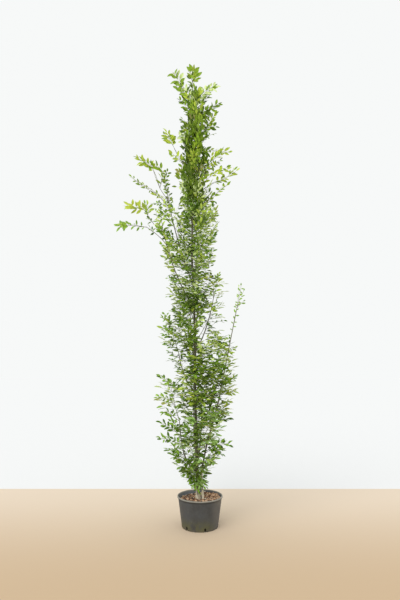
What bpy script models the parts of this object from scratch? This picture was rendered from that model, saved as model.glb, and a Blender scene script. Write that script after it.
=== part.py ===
"""Columnar hornbeam, a young upright tree in a black nursery pot.

Metres, +Z up. The origin is the centre of the pot's flat underside, -Y is the front.
Limbs follow arcs worked out from named sizes, and each mass of foliage is one stem
whose twigs and leaves branch by a seeded rule inside the mass's own space.
"""

import math

import bmesh
import bpy
import numpy as np
from mathutils import Vector
from mathutils.bvhtree import BVHTree

SEED = 11
GAP = 0.0003

# Pot
POT_HEIGHT = 0.260
POT_BASE_RADIUS = 0.159
POT_RIM_RADIUS = 0.200
POT_WALL = 0.0032
POT_FLOOR = 0.0045
POT_SEGMENTS = 40
RIM_HEIGHT = 0.013
RIM_REACH = 0.005
NOTCHES = 6
NOTCH_WIDTH = 0.012
NOTCH_HEIGHT = 0.022
NOTCH_FIRST = math.radians(-75.0)

# Soil
SOIL_TOP = 0.229
SOIL_MOUND = 0.005
SOIL_FLAT_RADIUS = 0.055

# Trunk: sideways lean at a few heights, and its girth
TRUNK_FOOT = SOIL_TOP + GAP
TRUNK_TOP = 4.14
LEAN_HEIGHTS = (0.22, 0.60, 0.95, 1.30, 1.65, 2.10, 2.40, 2.80, 3.30, 3.80, 4.30)
LEAN_X = (-0.018, -0.030, -0.040, -0.050, -0.046, -0.060, -0.078, -0.073, -0.090, -0.070, -0.080)
LEAN_Y = (0.004, 0.000, -0.006, 0.004, 0.010, 0.002, -0.008, -0.004, 0.006, 0.000, -0.006)
TRUNK_RADIUS = 0.0155
TRUNK_TIP_RADIUS = 0.0030
FLARE = 0.0085
FLARE_HEIGHT = 0.045
FLARE_ROOTS = 5
TRUNK_SIDES = 10
TRUNK_RINGS = 26

# Second stem, beside the trunk's foot on the right
STEM_TOP = 1.93
STEM_HEIGHTS = (0.22, 0.46, 0.68, 1.05, 1.65, 1.93)
STEM_X = (0.027, 0.012, 0.055, 0.160, 0.285, 0.345)
STEM_Y = (-0.020, -0.024, -0.032, -0.050, -0.035, -0.010)
STEM_RADIUS = 0.0088
STEM_TIP_RADIUS = 0.0030
STEM_RINGS = 15

# Outline of the close crown seen from the front, as distances from the pot's axis
EDGE_HEIGHTS = (0.30, 0.42, 0.55, 0.70, 0.90, 1.15, 1.40, 1.60, 1.85, 2.05, 2.25, 2.50, 2.80,
                3.00, 3.25, 3.50, 3.80, 4.10, 4.25, 4.42)
LEFT_EDGE = (0.05, 0.14, 0.25, 0.34, 0.36, 0.36, 0.33, 0.36, 0.35, 0.33, 0.31, 0.37, 0.42,
             0.37, 0.35, 0.22, 0.20, 0.24, 0.30, 0.20)
RIGHT_EDGE = (0.04, 0.07, 0.16, 0.24, 0.27, 0.31, 0.35, 0.32, 0.24, 0.21, 0.12, 0.14, 0.18,
              0.16, 0.10, 0.06, 0.08, 0.12, 0.10, 0.00)
DEPTH = (0.05, 0.13, 0.21, 0.28, 0.31, 0.32, 0.32, 0.31, 0.28, 0.26, 0.24, 0.25, 0.26,
         0.24, 0.22, 0.18, 0.16, 0.14, 0.12, 0.08)

# Viewpoint of the outline
VIEW_DISTANCE = 4.266
VIEW_HEIGHT = 1.421

# Boughs: parent, foot (height on the trunk, or share of the parent's length), azimuth,
# reach, rise, arch (positive leaves the parent early and then turns up), foot and tip radius
BOUGHS = {
    "bough_left_low": ("trunk", 0.46, 188, 0.160, 0.440, 0.75, 0.0070, 0.0038),
    "bough_back_low": ("trunk", 0.52, 74, 0.150, 0.420, 0.60, 0.0068, 0.0036),
    "bough_front_low": ("trunk", 0.62, 258, 0.140, 0.400, 0.60, 0.0066, 0.0036),
    "bough_right_low": ("trunk", 0.84, 22, 0.190, 0.330, 0.45, 0.0066, 0.0034),
    "bough_left_mid": ("trunk", 1.16, 172, 0.150, 0.340, 0.45, 0.0064, 0.0034),
    "bough_back_mid": ("trunk", 1.42, 112, 0.130, 0.560, 0.55, 0.0062, 0.0034),
    "bough_right_mid": ("trunk", 1.52, 8, 0.175, 0.500, 0.30, 0.0062, 0.0032),
    "bough_front_mid": ("trunk", 1.66, 285, 0.120, 0.540, 0.55, 0.0060, 0.0032),
    "bough_left_outer": ("trunk", 1.93, 184, 0.285, 0.690, 0.25, 0.0062, 0.0034),
    "bough_left_leader": ("trunk", 2.16, 178, 0.250, 0.860, 0.20, 0.0062, 0.0032),
    "bough_left_reach_low": ("bough_left_outer", 0.88, 189, 0.200, 0.170, -0.20, 0.0032, 0.0024),
    "bough_left_reach_mid": ("bough_left_outer", 0.97, 176, 0.170, 0.230, 0.05, 0.0032, 0.0024),
    "bough_left_reach_high": ("bough_left_leader", 0.86, 187, 0.120, 0.140, 0.00, 0.0032, 0.0024),
    "bough_left_reach_top": ("bough_left_leader", 0.96, 172, 0.085, 0.125, 0.10, 0.0030, 0.0024),
}
BOUGH_SIDES = 6
BOUGH_STEP = 0.11

# Foliage that carries a bough on, or stands out of the close crown: parent, foot, azimuth,
# reach, rise, arch, bare share of the stem, leaves
REACHING = {
    "foliage_second_stem": ("second_stem", 1.0, 5, 0.030, 0.180, 0.10, 0.06, 8),
    "foliage_left_low": ("bough_left_low", 1.0, 196, 0.090, 0.340, 0.10, 0.06, 15),
    "foliage_back_low": ("bough_back_low", 1.0, 80, 0.080, 0.330, 0.10, 0.06, 14),
    "foliage_front_low": ("bough_front_low", 1.0, 250, 0.080, 0.330, 0.10, 0.06, 14),
    "foliage_right_low": ("bough_right_low", 1.0, 10, 0.090, 0.310, 0.10, 0.06, 14),
    "foliage_left_mid": ("bough_left_mid", 1.0, 190, 0.100, 0.300, 0.00, 0.08, 13),
    "foliage_back_mid": ("bough_back_mid", 1.0, 100, 0.060, 0.340, 0.10, 0.08, 14),
    "foliage_right_mid": ("bough_right_mid", 1.0, 15, 0.045, 0.210, 0.20, 0.08, 11),
    "foliage_front_mid": ("bough_front_mid", 1.0, 272, 0.060, 0.330, 0.10, 0.08, 14),
    "foliage_left_outer": ("bough_left_outer", 1.0, 200, 0.045, 0.230, 0.10, 0.08, 9),
    "foliage_left_leader": ("bough_left_leader", 1.0, 168, 0.035, 0.250, 0.20, 0.06, 9),
    "foliage_back_high": ("trunk", 2.36, 70, 0.150, 0.480, 0.10, 0.26, 14),
    "foliage_reach_low": ("bough_left_reach_low", 1.0, 184, 0.205, 0.030, 0.00, 0.30, 9),
    "foliage_reach_mid": ("bough_left_reach_mid", 1.0, 180, 0.165, 0.060, 0.10, 0.08, 9),
    "foliage_reach_high": ("bough_left_reach_high", 1.0, 176, 0.195, 0.095, -0.10, 0.26, 8),
    "foliage_reach_top": ("bough_left_reach_top", 1.0, 182, 0.170, 0.190, 0.15, 0.10, 9),
    "foliage_twig_left": ("trunk", 3.32, 184, 0.210, 0.320, 0.10, 0.42, 8),
    "foliage_twig_right": ("trunk", 3.20, 6, 0.350, 0.290, 0.15, 0.38, 9),
    "foliage_wing_right": ("trunk", 3.02, -12, 0.385, 0.250, -0.05, 0.34, 9),
    "foliage_spray_right": ("trunk", 2.76, 10, 0.345, 0.370, 0.05, 0.36, 10),
    "foliage_tip_left": ("trunk", 3.80, 176, 0.190, 0.440, 0.20, 0.16, 13),
    "foliage_tip_right": ("trunk", 3.78, 8, 0.230, 0.340, 0.15, 0.16, 12),
    "foliage_side_right": ("trunk", 3.50, -16, 0.180, 0.300, 0.15, 0.18, 12),
    "foliage_top": ("trunk", 1.0, 60, 0.012, 0.150, 0.00, 0.00, 9),
}

# Foliage of the close crown, placed round the trunk by the golden angle
TIERS = 18
TIER_FIRST = 0.325
TIER_LAST = 3.46
TIER_CROWDING = 1.42
TIER_AZIMUTH = 205.0
GOLDEN = 137.508
TIER_RISE = 0.36
TIER_FILL = 0.74
TIER_LEAVES = (18, 13)

# Twigs and leaves
STEM_FOOT = 0.0032
STEM_TIP = 0.0015
TWIG_RADIUS = 0.0017
TWIG_LENGTH = 0.135
LEAF_LENGTH = 0.122
LEAF_WIDTH = 0.60
LEAF_THICKNESS = 0.026
LEAF_FOLD = 0.10
STEM_CLEARANCE = 0.019
STEM_TURN = 9.0
STEM_TURNS = 21
CELL_MARGIN = 0.003
LIMB_MARGIN = 0.0015

# Sky seen through the crown: across, height, half width, half height
SKY = (
    (-0.225, 3.06, 0.022, 0.17),
    (-0.235, 2.68, 0.020, 0.10),
    (-0.175, 2.275, 0.050, 0.026),
    (0.030, 1.72, 0.032, 0.065),
    (-0.140, 1.42, 0.060, 0.022),
    (-0.170, 0.95, 0.022, 0.030),
    (0.070, 0.82, 0.024, 0.032),
)


def lean(heights, knots, across, deep):
    """Points at the given heights on a smooth curve through the knots."""
    z = np.atleast_1d(np.asarray(heights, float))
    fine = np.linspace(knots[0], knots[-1], 120)
    kernel = np.hanning(17)
    kernel /= kernel.sum()
    columns = []
    for values in (across, deep):
        raw = np.interp(fine, knots, values)
        padded = np.concatenate([2 * raw[0] - raw[8:0:-1], raw, 2 * raw[-1] - raw[-2:-10:-1]])
        columns.append(np.interp(z, fine, np.convolve(padded, kernel, "valid")))
    return np.stack([columns[0], columns[1], z], axis=1)


def trunk_axis(heights):
    return lean(heights, LEAN_HEIGHTS, LEAN_X, LEAN_Y)


def trunk_radius(heights):
    """Taper from the foot to the tip, with the root flare added near the soil."""
    z = np.asarray(heights, float)
    share = np.clip((z - TRUNK_FOOT) / (TRUNK_TOP - TRUNK_FOOT), 0, 1)
    taper = TRUNK_TIP_RADIUS + (TRUNK_RADIUS - TRUNK_TIP_RADIUS) * (1 - share) ** 0.85
    return taper + FLARE * np.exp(-(z - TRUNK_FOOT) / FLARE_HEIGHT)


def arc(foot, azimuth, reach, rise, arch, steps):
    """A curve from the foot that gains the reach outwards and the rise upwards."""
    angle = math.radians(azimuth)
    out = np.array([math.cos(angle), math.sin(angle), 0.0])
    up = np.array([0.0, 0.0, 1.0])
    bend = foot + out * reach * (0.5 + arch / 2) + up * rise * (0.5 - arch / 2)
    tip = foot + out * reach + up * rise
    t = np.linspace(0, 1, steps)[:, None]
    return (1 - t) ** 2 * foot + 2 * t * (1 - t) * bend + t ** 2 * tip


def along(path, share):
    """Point and direction at a share of a path's length."""
    steps = np.linalg.norm(np.diff(path, axis=0), axis=1)
    reached = np.concatenate([[0], np.cumsum(steps)]) / steps.sum()
    point = np.array([np.interp(share, reached, path[:, k]) for k in range(3)])
    index = min(int(np.searchsorted(reached, share, side="right")), len(path) - 1)
    heading = path[index] - path[index - 1]
    return point, heading / np.linalg.norm(heading)


def limb_paths():
    """Axis and radii of the trunk, the second stem and every bough."""
    heights = TRUNK_FOOT + (TRUNK_TOP - TRUNK_FOOT) * np.linspace(0, 1, TRUNK_RINGS) ** 1.15
    limbs = {"trunk": (trunk_axis(heights), trunk_radius(heights))}
    heights = np.linspace(TRUNK_FOOT, STEM_TOP, STEM_RINGS)
    girth = np.linspace(STEM_RADIUS, STEM_TIP_RADIUS, STEM_RINGS)
    girth += 0.004 * np.exp(-(heights - TRUNK_FOOT) / 0.03)
    limbs["second_stem"] = (lean(heights, STEM_HEIGHTS, STEM_X, STEM_Y), girth)
    for name, (parent, foot, azimuth, reach, rise, arch, thick, thin) in BOUGHS.items():
        start = trunk_axis(foot)[0] if parent == "trunk" else along(limbs[parent][0], foot)[0]
        steps = max(4, round(math.hypot(reach, rise) / BOUGH_STEP) + 1)
        path = arc(start, azimuth, reach, rise, arch, steps)
        limbs[name] = (path, np.linspace(thick, thin, steps))
    return limbs


def mass_rows():
    """Parent, foot, azimuth, reach, rise, arch, bare share and leaves of every mass."""
    rows = dict(REACHING)
    for tier in range(TIERS):
        height = TIER_FIRST + (TIER_LAST - TIER_FIRST) * (tier / (TIERS - 1)) ** TIER_CROWDING
        azimuth = (TIER_AZIMUTH + GOLDEN * tier) % 360
        rise = TIER_RISE * (0.72 + 0.28 * min(1.0, tier / 5))
        angle = math.radians(azimuth)
        side = LEFT_EDGE if math.cos(angle) < 0 else RIGHT_EDGE
        centre = trunk_axis(height)[0][0]
        across = np.interp(height + rise, EDGE_HEIGHTS, side) + math.copysign(centre, math.cos(angle))
        deep = np.interp(height + rise, EDGE_HEIGHTS, DEPTH)
        reach = 1 / math.hypot(math.cos(angle) / max(across, 0.05), math.sin(angle) / deep)
        arch = -0.15 + 0.35 * tier / TIERS
        leaves = round(np.interp(tier / (TIERS - 1), (0, 1), TIER_LEAVES))
        rows[f"foliage_tier_{tier + 1:02d}"] = (
            "trunk", height, azimuth, TIER_FILL * reach, rise, arch, 0.22, leaves)
    return rows


def evenly(path, count):
    """The path as points at even steps."""
    return np.array([along(path, t)[0] for t in np.linspace(0, 1, count)])


def nearest(points, others):
    return np.linalg.norm(points[:, None] - others[None], axis=2).min()


def mass_paths(limbs):
    """Stem axis of every mass, and the direction of the limb whose tip it carries on.

    A stem that would run into a bough or an earlier stem is turned about its foot, a
    little more each time, until it is clear.
    """
    paths, carried, fine = {}, {}, {}
    boughs = {name: evenly(path, 60) for name, (path, _) in limbs.items()}
    for name, (parent, foot, azimuth, reach, rise, arch, _, _) in mass_rows().items():
        if parent == "trunk" and foot != 1.0:
            start = trunk_axis(foot)[0]
        else:
            start, carried[name] = along(limbs[parent][0], 1.0)
            start = start + carried[name] * GAP
        found = None
        for turn in range(STEM_TURNS):
            shift = STEM_TURN * ((turn + 1) // 2) * (1 if turn % 2 else -1)
            path = arc(start, azimuth + shift, reach, rise, arch, 5)
            points = evenly(path, 40)[5:]
            others = [line for other, line in boughs.items() if other != parent]
            others += list(fine.values())
            room = min(nearest(points, line) for line in others)
            if found is None or room > found[0]:
                found = (room, path, points)
            if room > STEM_CLEARANCE:
                break
        paths[name], fine[name] = found[1], found[2]
    return paths, carried


def seen_from_front(points):
    """Points moved along their line of sight into the plane of the trunk."""
    scale = VIEW_DISTANCE / (VIEW_DISTANCE + points[:, 1])
    return points[:, 0] * scale, VIEW_HEIGHT + (points[:, 2] - VIEW_HEIGHT) * scale


def in_sky(points):
    x, z = seen_from_front(points)
    inside = np.zeros(len(points), bool)
    for across, height, wide, tall in SKY:
        inside |= ((x - across) / wide) ** 2 + ((z - height) / tall) ** 2 < 1
    return inside


def in_outline(points, slack):
    x, z = seen_from_front(points)
    left = -np.interp(z, EDGE_HEIGHTS, LEFT_EDGE) - slack
    right = np.interp(z, EDGE_HEIGHTS, RIGHT_EDGE) + slack
    return (x > left) & (x < right)


def frame_of(heading, roll=0.0):
    """Two unit vectors square to a direction, turned about it by the roll."""
    seed = np.array([0.0, 0.0, 1.0]) if abs(heading[2]) < 0.9 else np.array([1.0, 0.0, 0.0])
    side = np.cross(seed, heading)
    side /= np.linalg.norm(side)
    up = np.cross(heading, side)
    return (side * math.cos(roll) + up * math.sin(roll),
            up * math.cos(roll) - side * math.sin(roll))


def tube(path, radii, sides, foot_square_to=None, pointed=False, lobes=None):
    """Closed tube round a path: rings carried along it without twist, capped or pointed."""
    headings = np.gradient(path, axis=0)
    headings /= np.linalg.norm(headings, axis=1)[:, None]
    if foot_square_to is not None:
        headings[0] = foot_square_to
    side, _ = frame_of(headings[0])
    angles = 2 * np.pi * np.arange(sides) / sides
    points = []
    rings = len(path) - 1 if pointed else len(path)
    for k in range(rings):
        side = side - headings[k] * side.dot(headings[k])
        side /= np.linalg.norm(side)
        up = np.cross(headings[k], side)
        size = radii[k] * (lobes(path[k][2], angles) if lobes else np.ones(sides))
        ring = np.cos(angles)[:, None] * side + np.sin(angles)[:, None] * up
        points.extend(path[k] + ring * size[:, None])
    faces = [tuple(range(sides))[::-1]]
    for k in range(rings - 1):
        for s in range(sides):
            a, b = k * sides + s, k * sides + (s + 1) % sides
            faces.append((a, b, b + sides, a + sides))
    last = (rings - 1) * sides
    if pointed:
        points.append(path[-1])
        faces.extend((last + s, last + (s + 1) % sides, last + sides) for s in range(sides))
    else:
        faces.append(tuple(range(last, last + sides)))
    return np.array(points), faces


def leaf(foot, heading, roll, length):
    """A folded, pointed blade of eight faces, its foot sunk in the twig."""
    side, up = frame_of(heading, roll)
    wide = length * LEAF_WIDTH / 2
    middle = foot + heading * length * 0.48
    points = np.array([
        foot,
        middle + side * wide + up * length * LEAF_FOLD,
        foot + heading * length - up * length * 0.05,
        middle - side * wide + up * length * LEAF_FOLD,
        middle + up * length * LEAF_THICKNESS / 2,
        middle - up * length * LEAF_THICKNESS / 2,
    ])
    faces = [(0, 4, 1), (1, 4, 2), (2, 4, 3), (3, 4, 0), (0, 1, 5), (1, 2, 5), (2, 3, 5), (3, 0, 5)]
    return points, faces


def triangles(faces):
    return [(f[0], f[k], f[k + 1]) for f in faces for k in range(1, len(f) - 1)]


def tree_of(shape):
    return BVHTree.FromPolygons([Vector(p) for p in shape[0]], triangles(shape[1]))


def samples(points, faces):
    """Corners and edge middles of a shape."""
    edges = {tuple(sorted((f[k - 1], f[k]))) for f in faces for k in range(len(f))}
    index = np.array(sorted(edges))
    return np.concatenate([points, points[index].mean(axis=1)])


class Crown:
    """Grows the masses one after another, each in the space nearest its own stem."""

    def __init__(self, limbs):
        self.paths, self.carried = mass_paths(limbs)
        self.rows = mass_rows()
        self.axes = {name: np.concatenate([along(path, t)[0][None] for t in np.linspace(0.04, 1, 25)])
                     for name, path in self.paths.items()}
        self.limbs = [tree_of(tube(path, radii + LIMB_MARGIN, 8)) for path, radii in limbs.values()]
        self.grown = []
        self.centres = np.zeros((0, 3))

    def own_space(self, name, points, slack):
        mine = np.linalg.norm(points[:, None] - self.axes[name][None], axis=2).min(axis=1)
        for other, axis in self.axes.items():
            if other != name:
                theirs = np.linalg.norm(points[:, None] - axis[None], axis=2).min(axis=1)
                if (mine + 2 * slack > theirs).any():
                    return False
        return True

    def room(self, point):
        """Distance to the nearest leaf so far, so that the crown fills evenly."""
        return np.linalg.norm(self.centres - point, axis=1).min(initial=0.3)

    def clear(self, name, shape, own, reaching):
        points = samples(*shape)
        if not self.own_space(name, points, CELL_MARGIN) or in_sky(points).any():
            return False
        if not reaching and not in_outline(points, 0.02).all():
            return False
        if points[:, 2].min() < POT_HEIGHT + 0.02:
            return False
        tested = tree_of(shape)
        return not any(tested.overlap(other) for other in self.limbs + self.grown + own)

    def grow(self, index, name):
        """Stem, alternate twigs and alternate leaves of one mass, as closed shapes."""
        rng = np.random.default_rng([SEED, index])
        reaching = name in REACHING
        _, _, _, reach, rise, _, bare, wanted = self.rows[name]
        path = self.paths[name]
        length = math.hypot(reach, rise)
        stem = tube(path, np.linspace(STEM_FOOT, STEM_TIP, len(path)), 3, self.carried.get(name), True)
        shapes = [stem]
        leaf_trees = []
        count = max(3, round(wanted / 2.9))
        turn = rng.uniform(0, 360)
        size = LEAF_LENGTH * (0.86 if reaching and wanted < 10 else 1.0)
        tip, heading = along(path, 1.0)
        slots = [(tip - heading * 0.006, heading, size, None)]
        for k in range(count):
            share = bare + (0.97 - bare) * (k + 0.35) / count
            point, heading = along(path, share)
            best = None
            for attempt in range(10):
                roll = math.radians(turn + GOLDEN * k + 36.0 * attempt)
                side, _ = frame_of(heading, roll)
                lean = math.radians(rng.uniform(44, 68))
                way = heading * math.cos(lean) + side * math.sin(lean)
                way[2] += 0.10
                way /= np.linalg.norm(way)
                long = min(TWIG_LENGTH * rng.uniform(0.8, 1.2), 0.38 * length) * (1 - 0.35 * share)
                bend = np.array([0, 0, 0.12 * long])
                line = np.array([point, point + way * long * 0.5 - bend * 0.3, point + way * long + bend])
                foot_radius = 0.35 * (STEM_FOOT + (STEM_TIP - STEM_FOOT) * share)
                twig = tube(line, np.array([foot_radius, TWIG_RADIUS, 0]), 3, pointed=True)
                outer = (twig[0][3:], [(0, 1, 2), (0, 1, 3), (1, 2, 3), (2, 0, 3)])
                room = self.room(line[2] + way * size * 0.5)
                if (best is None or room > best[0]) and self.clear(name, outer, leaf_trees, reaching):
                    best = (room, twig, outer, line)
            if best is None:
                continue
            _, twig, outer, line = best
            shapes.append(twig)
            own_twig = tree_of(outer)
            leaf_trees.append(own_twig)
            line_heading = (line[2] - line[1]) / np.linalg.norm(line[2] - line[1])
            slots.append((line[2] - line_heading * 0.008, line_heading, size, own_twig))
            self.centres = np.vstack([self.centres, line[2] + line_heading * size * 0.4])
            for j, place in enumerate((0.62, 0.40)):
                foot, along_twig = along(line, place)
                across = np.cross(along_twig, (0, 0, 1))
                across /= max(np.linalg.norm(across), 1e-6)
                sign = 1 if (k + j) % 2 else -1
                way = along_twig * 0.58 + across * sign * 0.80
                way[2] += 0.12
                slots.append((foot, way / np.linalg.norm(way), size * 0.95, own_twig))
        stem_tree = tree_of(stem)
        made = 0
        for order, (foot, heading, long, own_twig) in enumerate(slots):
            others = [tree for tree in leaf_trees if tree is not own_twig]
            others += [stem_tree] if own_twig else []
            best = None
            for attempt in range(12):
                spread = 0.08 + 0.06 * attempt
                way = heading + rng.normal(0, spread, 3)
                way /= np.linalg.norm(way)
                blade = leaf(foot, way, rng.normal(0, 0.45 + 0.08 * attempt), long)
                room = self.room(foot + way * long * 0.5) - 0.02 * attempt * long
                if (best is None or room > best[0]) and self.clear(name, blade, others, reaching):
                    best = (room, blade, foot + way * long * 0.5)
            if best is not None:
                shapes.append(best[1])
                leaf_trees.append(tree_of(best[1]))
                self.centres = np.vstack([self.centres, best[2]])
                made += 1
            if made >= wanted:
                break
        self.grown.extend(tree_of(shape) for shape in shapes)
        return shapes, made


def new_object(name, shape, smooth=False):
    mesh = bpy.data.meshes.new(name)
    mesh.from_pydata([tuple(map(float, p)) for p in shape[0]], [], [list(map(int, f)) for f in shape[1]])
    mesh.update()
    obj = bpy.data.objects.new(name, mesh)
    bpy.context.scene.collection.objects.link(obj)
    if smooth:
        mesh.shade_smooth()
    return obj


def paint(obj, colour, roughness):
    material = bpy.data.materials.new(obj.name)
    material.use_nodes = True
    surface = material.node_tree.nodes["Principled BSDF"]
    surface.inputs["Base Color"].default_value = (*colour, 1.0)
    surface.inputs["Roughness"].default_value = roughness
    surface.inputs["Metallic"].default_value = 0.0
    obj.data.materials.clear()
    obj.data.materials.append(material)


def apply_modifiers(obj):
    graph = bpy.context.evaluated_depsgraph_get()
    mesh = bpy.data.meshes.new_from_object(obj.evaluated_get(graph))
    old = obj.data
    obj.modifiers.clear()
    obj.data = mesh
    bpy.data.meshes.remove(old)


def keep_largest(obj):
    """Drops loose scraps and sealed hollows."""
    shape = bmesh.new()
    shape.from_mesh(obj.data)
    unseen = set(shape.faces)
    islands = []
    while unseen:
        first = unseen.pop()
        island, front = [first], [first]
        while front:
            for edge in front.pop().edges:
                for face in edge.link_faces:
                    if face in unseen:
                        unseen.remove(face)
                        island.append(face)
                        front.append(face)
        islands.append(island)
    islands.sort(key=len, reverse=True)
    for island in islands[1:]:
        bmesh.ops.delete(shape, geom=island, context="FACES")
    shape.to_mesh(obj.data)
    shape.free()


def cut(obj, cutter_shape):
    """Takes a grown limb's space away from the foot of an object."""
    cutter = new_object("cutter", cutter_shape)
    cutter.hide_render = True
    cutter.display_type = "WIRE"
    modifier = obj.modifiers.new("seat", "BOOLEAN")
    modifier.operation = "DIFFERENCE"
    modifier.object = cutter
    modifier.solver = "EXACT"
    apply_modifiers(obj)
    bpy.data.objects.remove(cutter)
    keep_largest(obj)


def union(name, shapes):
    """One Boolean union on a collection joins a mass."""
    pieces = bpy.data.collections.new(name + "_pieces")
    bpy.context.scene.collection.children.link(pieces)
    obj = new_object(name, shapes[0])
    for number, shape in enumerate(shapes[1:]):
        piece = new_object(f"{name}_{number}", shape)
        bpy.context.scene.collection.objects.unlink(piece)
        pieces.objects.link(piece)
    modifier = obj.modifiers.new("join", "BOOLEAN")
    modifier.operation = "UNION"
    modifier.operand_type = "COLLECTION"
    modifier.collection = pieces
    modifier.solver = "MANIFOLD"
    bpy.context.view_layer.update()
    apply_modifiers(obj)
    for piece in list(pieces.objects):
        bpy.data.objects.remove(piece)
    bpy.data.collections.remove(pieces)
    keep_largest(obj)
    return obj


def lathe(profile, segments):
    """Closed solid turned from a closed profile of radius and height; radius 0 gives a pole."""
    points, rows = [], []
    for radius, height in profile:
        if radius == 0:
            rows.append([len(points)] * segments)
            points.append((0, 0, height))
            continue
        rows.append(list(range(len(points), len(points) + segments)))
        for k in range(segments):
            angle = 2 * math.pi * k / segments
            points.append((radius * math.cos(angle), radius * math.sin(angle), height))
    faces = []
    for low, high in zip(rows, rows[1:]):
        for k in range(segments):
            ring = [low[k], low[(k + 1) % segments], high[(k + 1) % segments], high[k]]
            faces.append(tuple(dict.fromkeys(ring)))
    return np.array(points, float), faces


def wall_radius(height):
    """Outside of the pot's tapering wall at a height."""
    top = POT_RIM_RADIUS - RIM_REACH
    return POT_BASE_RADIUS + (top - POT_BASE_RADIUS) * height / POT_HEIGHT


def make_pot():
    top = POT_RIM_RADIUS - RIM_REACH
    under = POT_HEIGHT - RIM_HEIGHT
    profile = (
        (0, 0),
        (POT_BASE_RADIUS - 0.002, 0),
        (wall_radius(0.002), 0.002),
        (wall_radius(NOTCH_HEIGHT * 1.4), NOTCH_HEIGHT * 1.4),
        (wall_radius(under), under),
        (POT_RIM_RADIUS - 0.001, under + 0.001),
        (POT_RIM_RADIUS, under + 0.003),
        (POT_RIM_RADIUS, POT_HEIGHT - 0.003),
        (POT_RIM_RADIUS - 0.0015, POT_HEIGHT),
        (top - 0.001, POT_HEIGHT),
        (top - POT_WALL, POT_HEIGHT - 0.002),
        (wall_radius(POT_FLOOR) - POT_WALL, POT_FLOOR),
        (0, POT_FLOOR),
    )
    pot = new_object("pot", lathe(profile, POT_SEGMENTS), smooth=True)
    for k in range(NOTCHES):
        angle = NOTCH_FIRST + 2 * math.pi * k / NOTCHES
        out = np.array([math.cos(angle), math.sin(angle), 0])
        side = np.array([-out[1], out[0], 0])
        corners = []
        for high in (-0.004, NOTCH_HEIGHT):
            for radial, across in ((0.148, -1), (0.175, -1), (0.175, 1), (0.148, 1)):
                corner = out * radial + side * across * NOTCH_WIDTH / 2
                corners.append(corner + (0, 0, high))
        box = [(3, 2, 1, 0), (4, 5, 6, 7), (0, 1, 5, 4), (1, 2, 6, 5), (2, 3, 7, 6), (3, 0, 4, 7)]
        cut(pot, (np.array(corners), box))
    pot.data.shade_smooth()
    pot.data.set_sharp_from_angle(angle=math.radians(28))
    paint(pot, (0.060, 0.062, 0.062), 0.48)


def make_soil():
    """Fills the pot to just under its rim; its top swells softly round a level patch."""
    inner = wall_radius(POT_FLOOR) - POT_WALL - GAP
    outer = wall_radius(SOIL_TOP) - POT_WALL - GAP - 0.0004
    rings = ((SOIL_FLAT_RADIUS, 0.0), (0.120, 1.0), (outer - 0.006, 0.2))
    profile = [(0, POT_FLOOR + GAP), (inner, POT_FLOOR + GAP), (outer, SOIL_TOP - 0.004)]
    profile += [(radius, SOIL_TOP + SOIL_MOUND * swell) for radius, swell in reversed(rings)]
    profile += [(0, SOIL_TOP)]
    points, faces = lathe(profile, POT_SEGMENTS)
    radius = np.hypot(points[:, 0], points[:, 1])
    angle = np.arctan2(points[:, 1], points[:, 0])
    loose = (points[:, 2] > SOIL_TOP - 0.001) & (radius > SOIL_FLAT_RADIUS + 0.01)
    points[:, 2] += loose * (0.0025 * np.sin(3 * angle + 1) + 0.0020 * np.cos(5 * angle + 20 * radius))
    soil = new_object("soil", (points, faces), smooth=True)
    paint(soil, (0.20, 0.105, 0.055), 0.95)


def root_lobes(height, angles):
    """Ridges of the root flare that die out above the soil."""
    return 1 + 0.16 * math.exp(-(height - TRUNK_FOOT) / 0.05) * np.cos(FLARE_ROOTS * angles)


def make_limbs(limbs):
    for name, (path, radii) in limbs.items():
        if name == "trunk":
            obj = new_object(name, tube(path, radii, TRUNK_SIDES, (0, 0, 1), lobes=root_lobes), smooth=True)
        elif name == "second_stem":
            obj = new_object(name, tube(path, radii, 7, (0, 0, 1)), smooth=True)
        else:
            obj = new_object(name, tube(path, radii, BOUGH_SIDES), smooth=True)
            parent_path, parent_radii = limbs[BOUGHS[name][0]]
            sides = TRUNK_SIDES if BOUGHS[name][0] == "trunk" else BOUGH_SIDES
            cut(obj, tube(parent_path, parent_radii + GAP * 1.3, sides))
        paint(obj, (0.155, 0.130, 0.100), 0.85)


def make_foliage(limbs):
    crown = Crown(limbs)
    total = 0
    for index, name in enumerate(crown.paths):
        shapes, made = crown.grow(index, name)
        total += made
        obj = union(name, shapes)
        if name not in crown.carried:
            path, radii = limbs["trunk"]
            cut(obj, tube(path, radii + GAP * 1.3, TRUNK_SIDES))
        bright = 0.5 + 0.5 * math.sin(index * 2.4)
        paint(obj, (0.075 + 0.07 * bright, 0.170 + 0.08 * bright, 0.030), 0.60)
        print(name, "leaves", made, "faces", len(obj.data.polygons))
    print("leaves in all", total)


def main():
    for obj in list(bpy.data.objects):
        bpy.data.objects.remove(obj)
    limbs = limb_paths()
    make_pot()
    make_soil()
    make_limbs(limbs)
    make_foliage(limbs)


main()
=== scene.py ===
"""Young columnar hornbeam in a nursery pot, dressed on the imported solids.

Metres, +Z up, the origin under the pot's centre, -Y the front. The limbs and the stems of
the foliage follow the same rule as the solids. From each stem grow twigs, from each twig
side shoots, and from every joint of a shoot one leaf, on alternate sides.
"""

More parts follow.
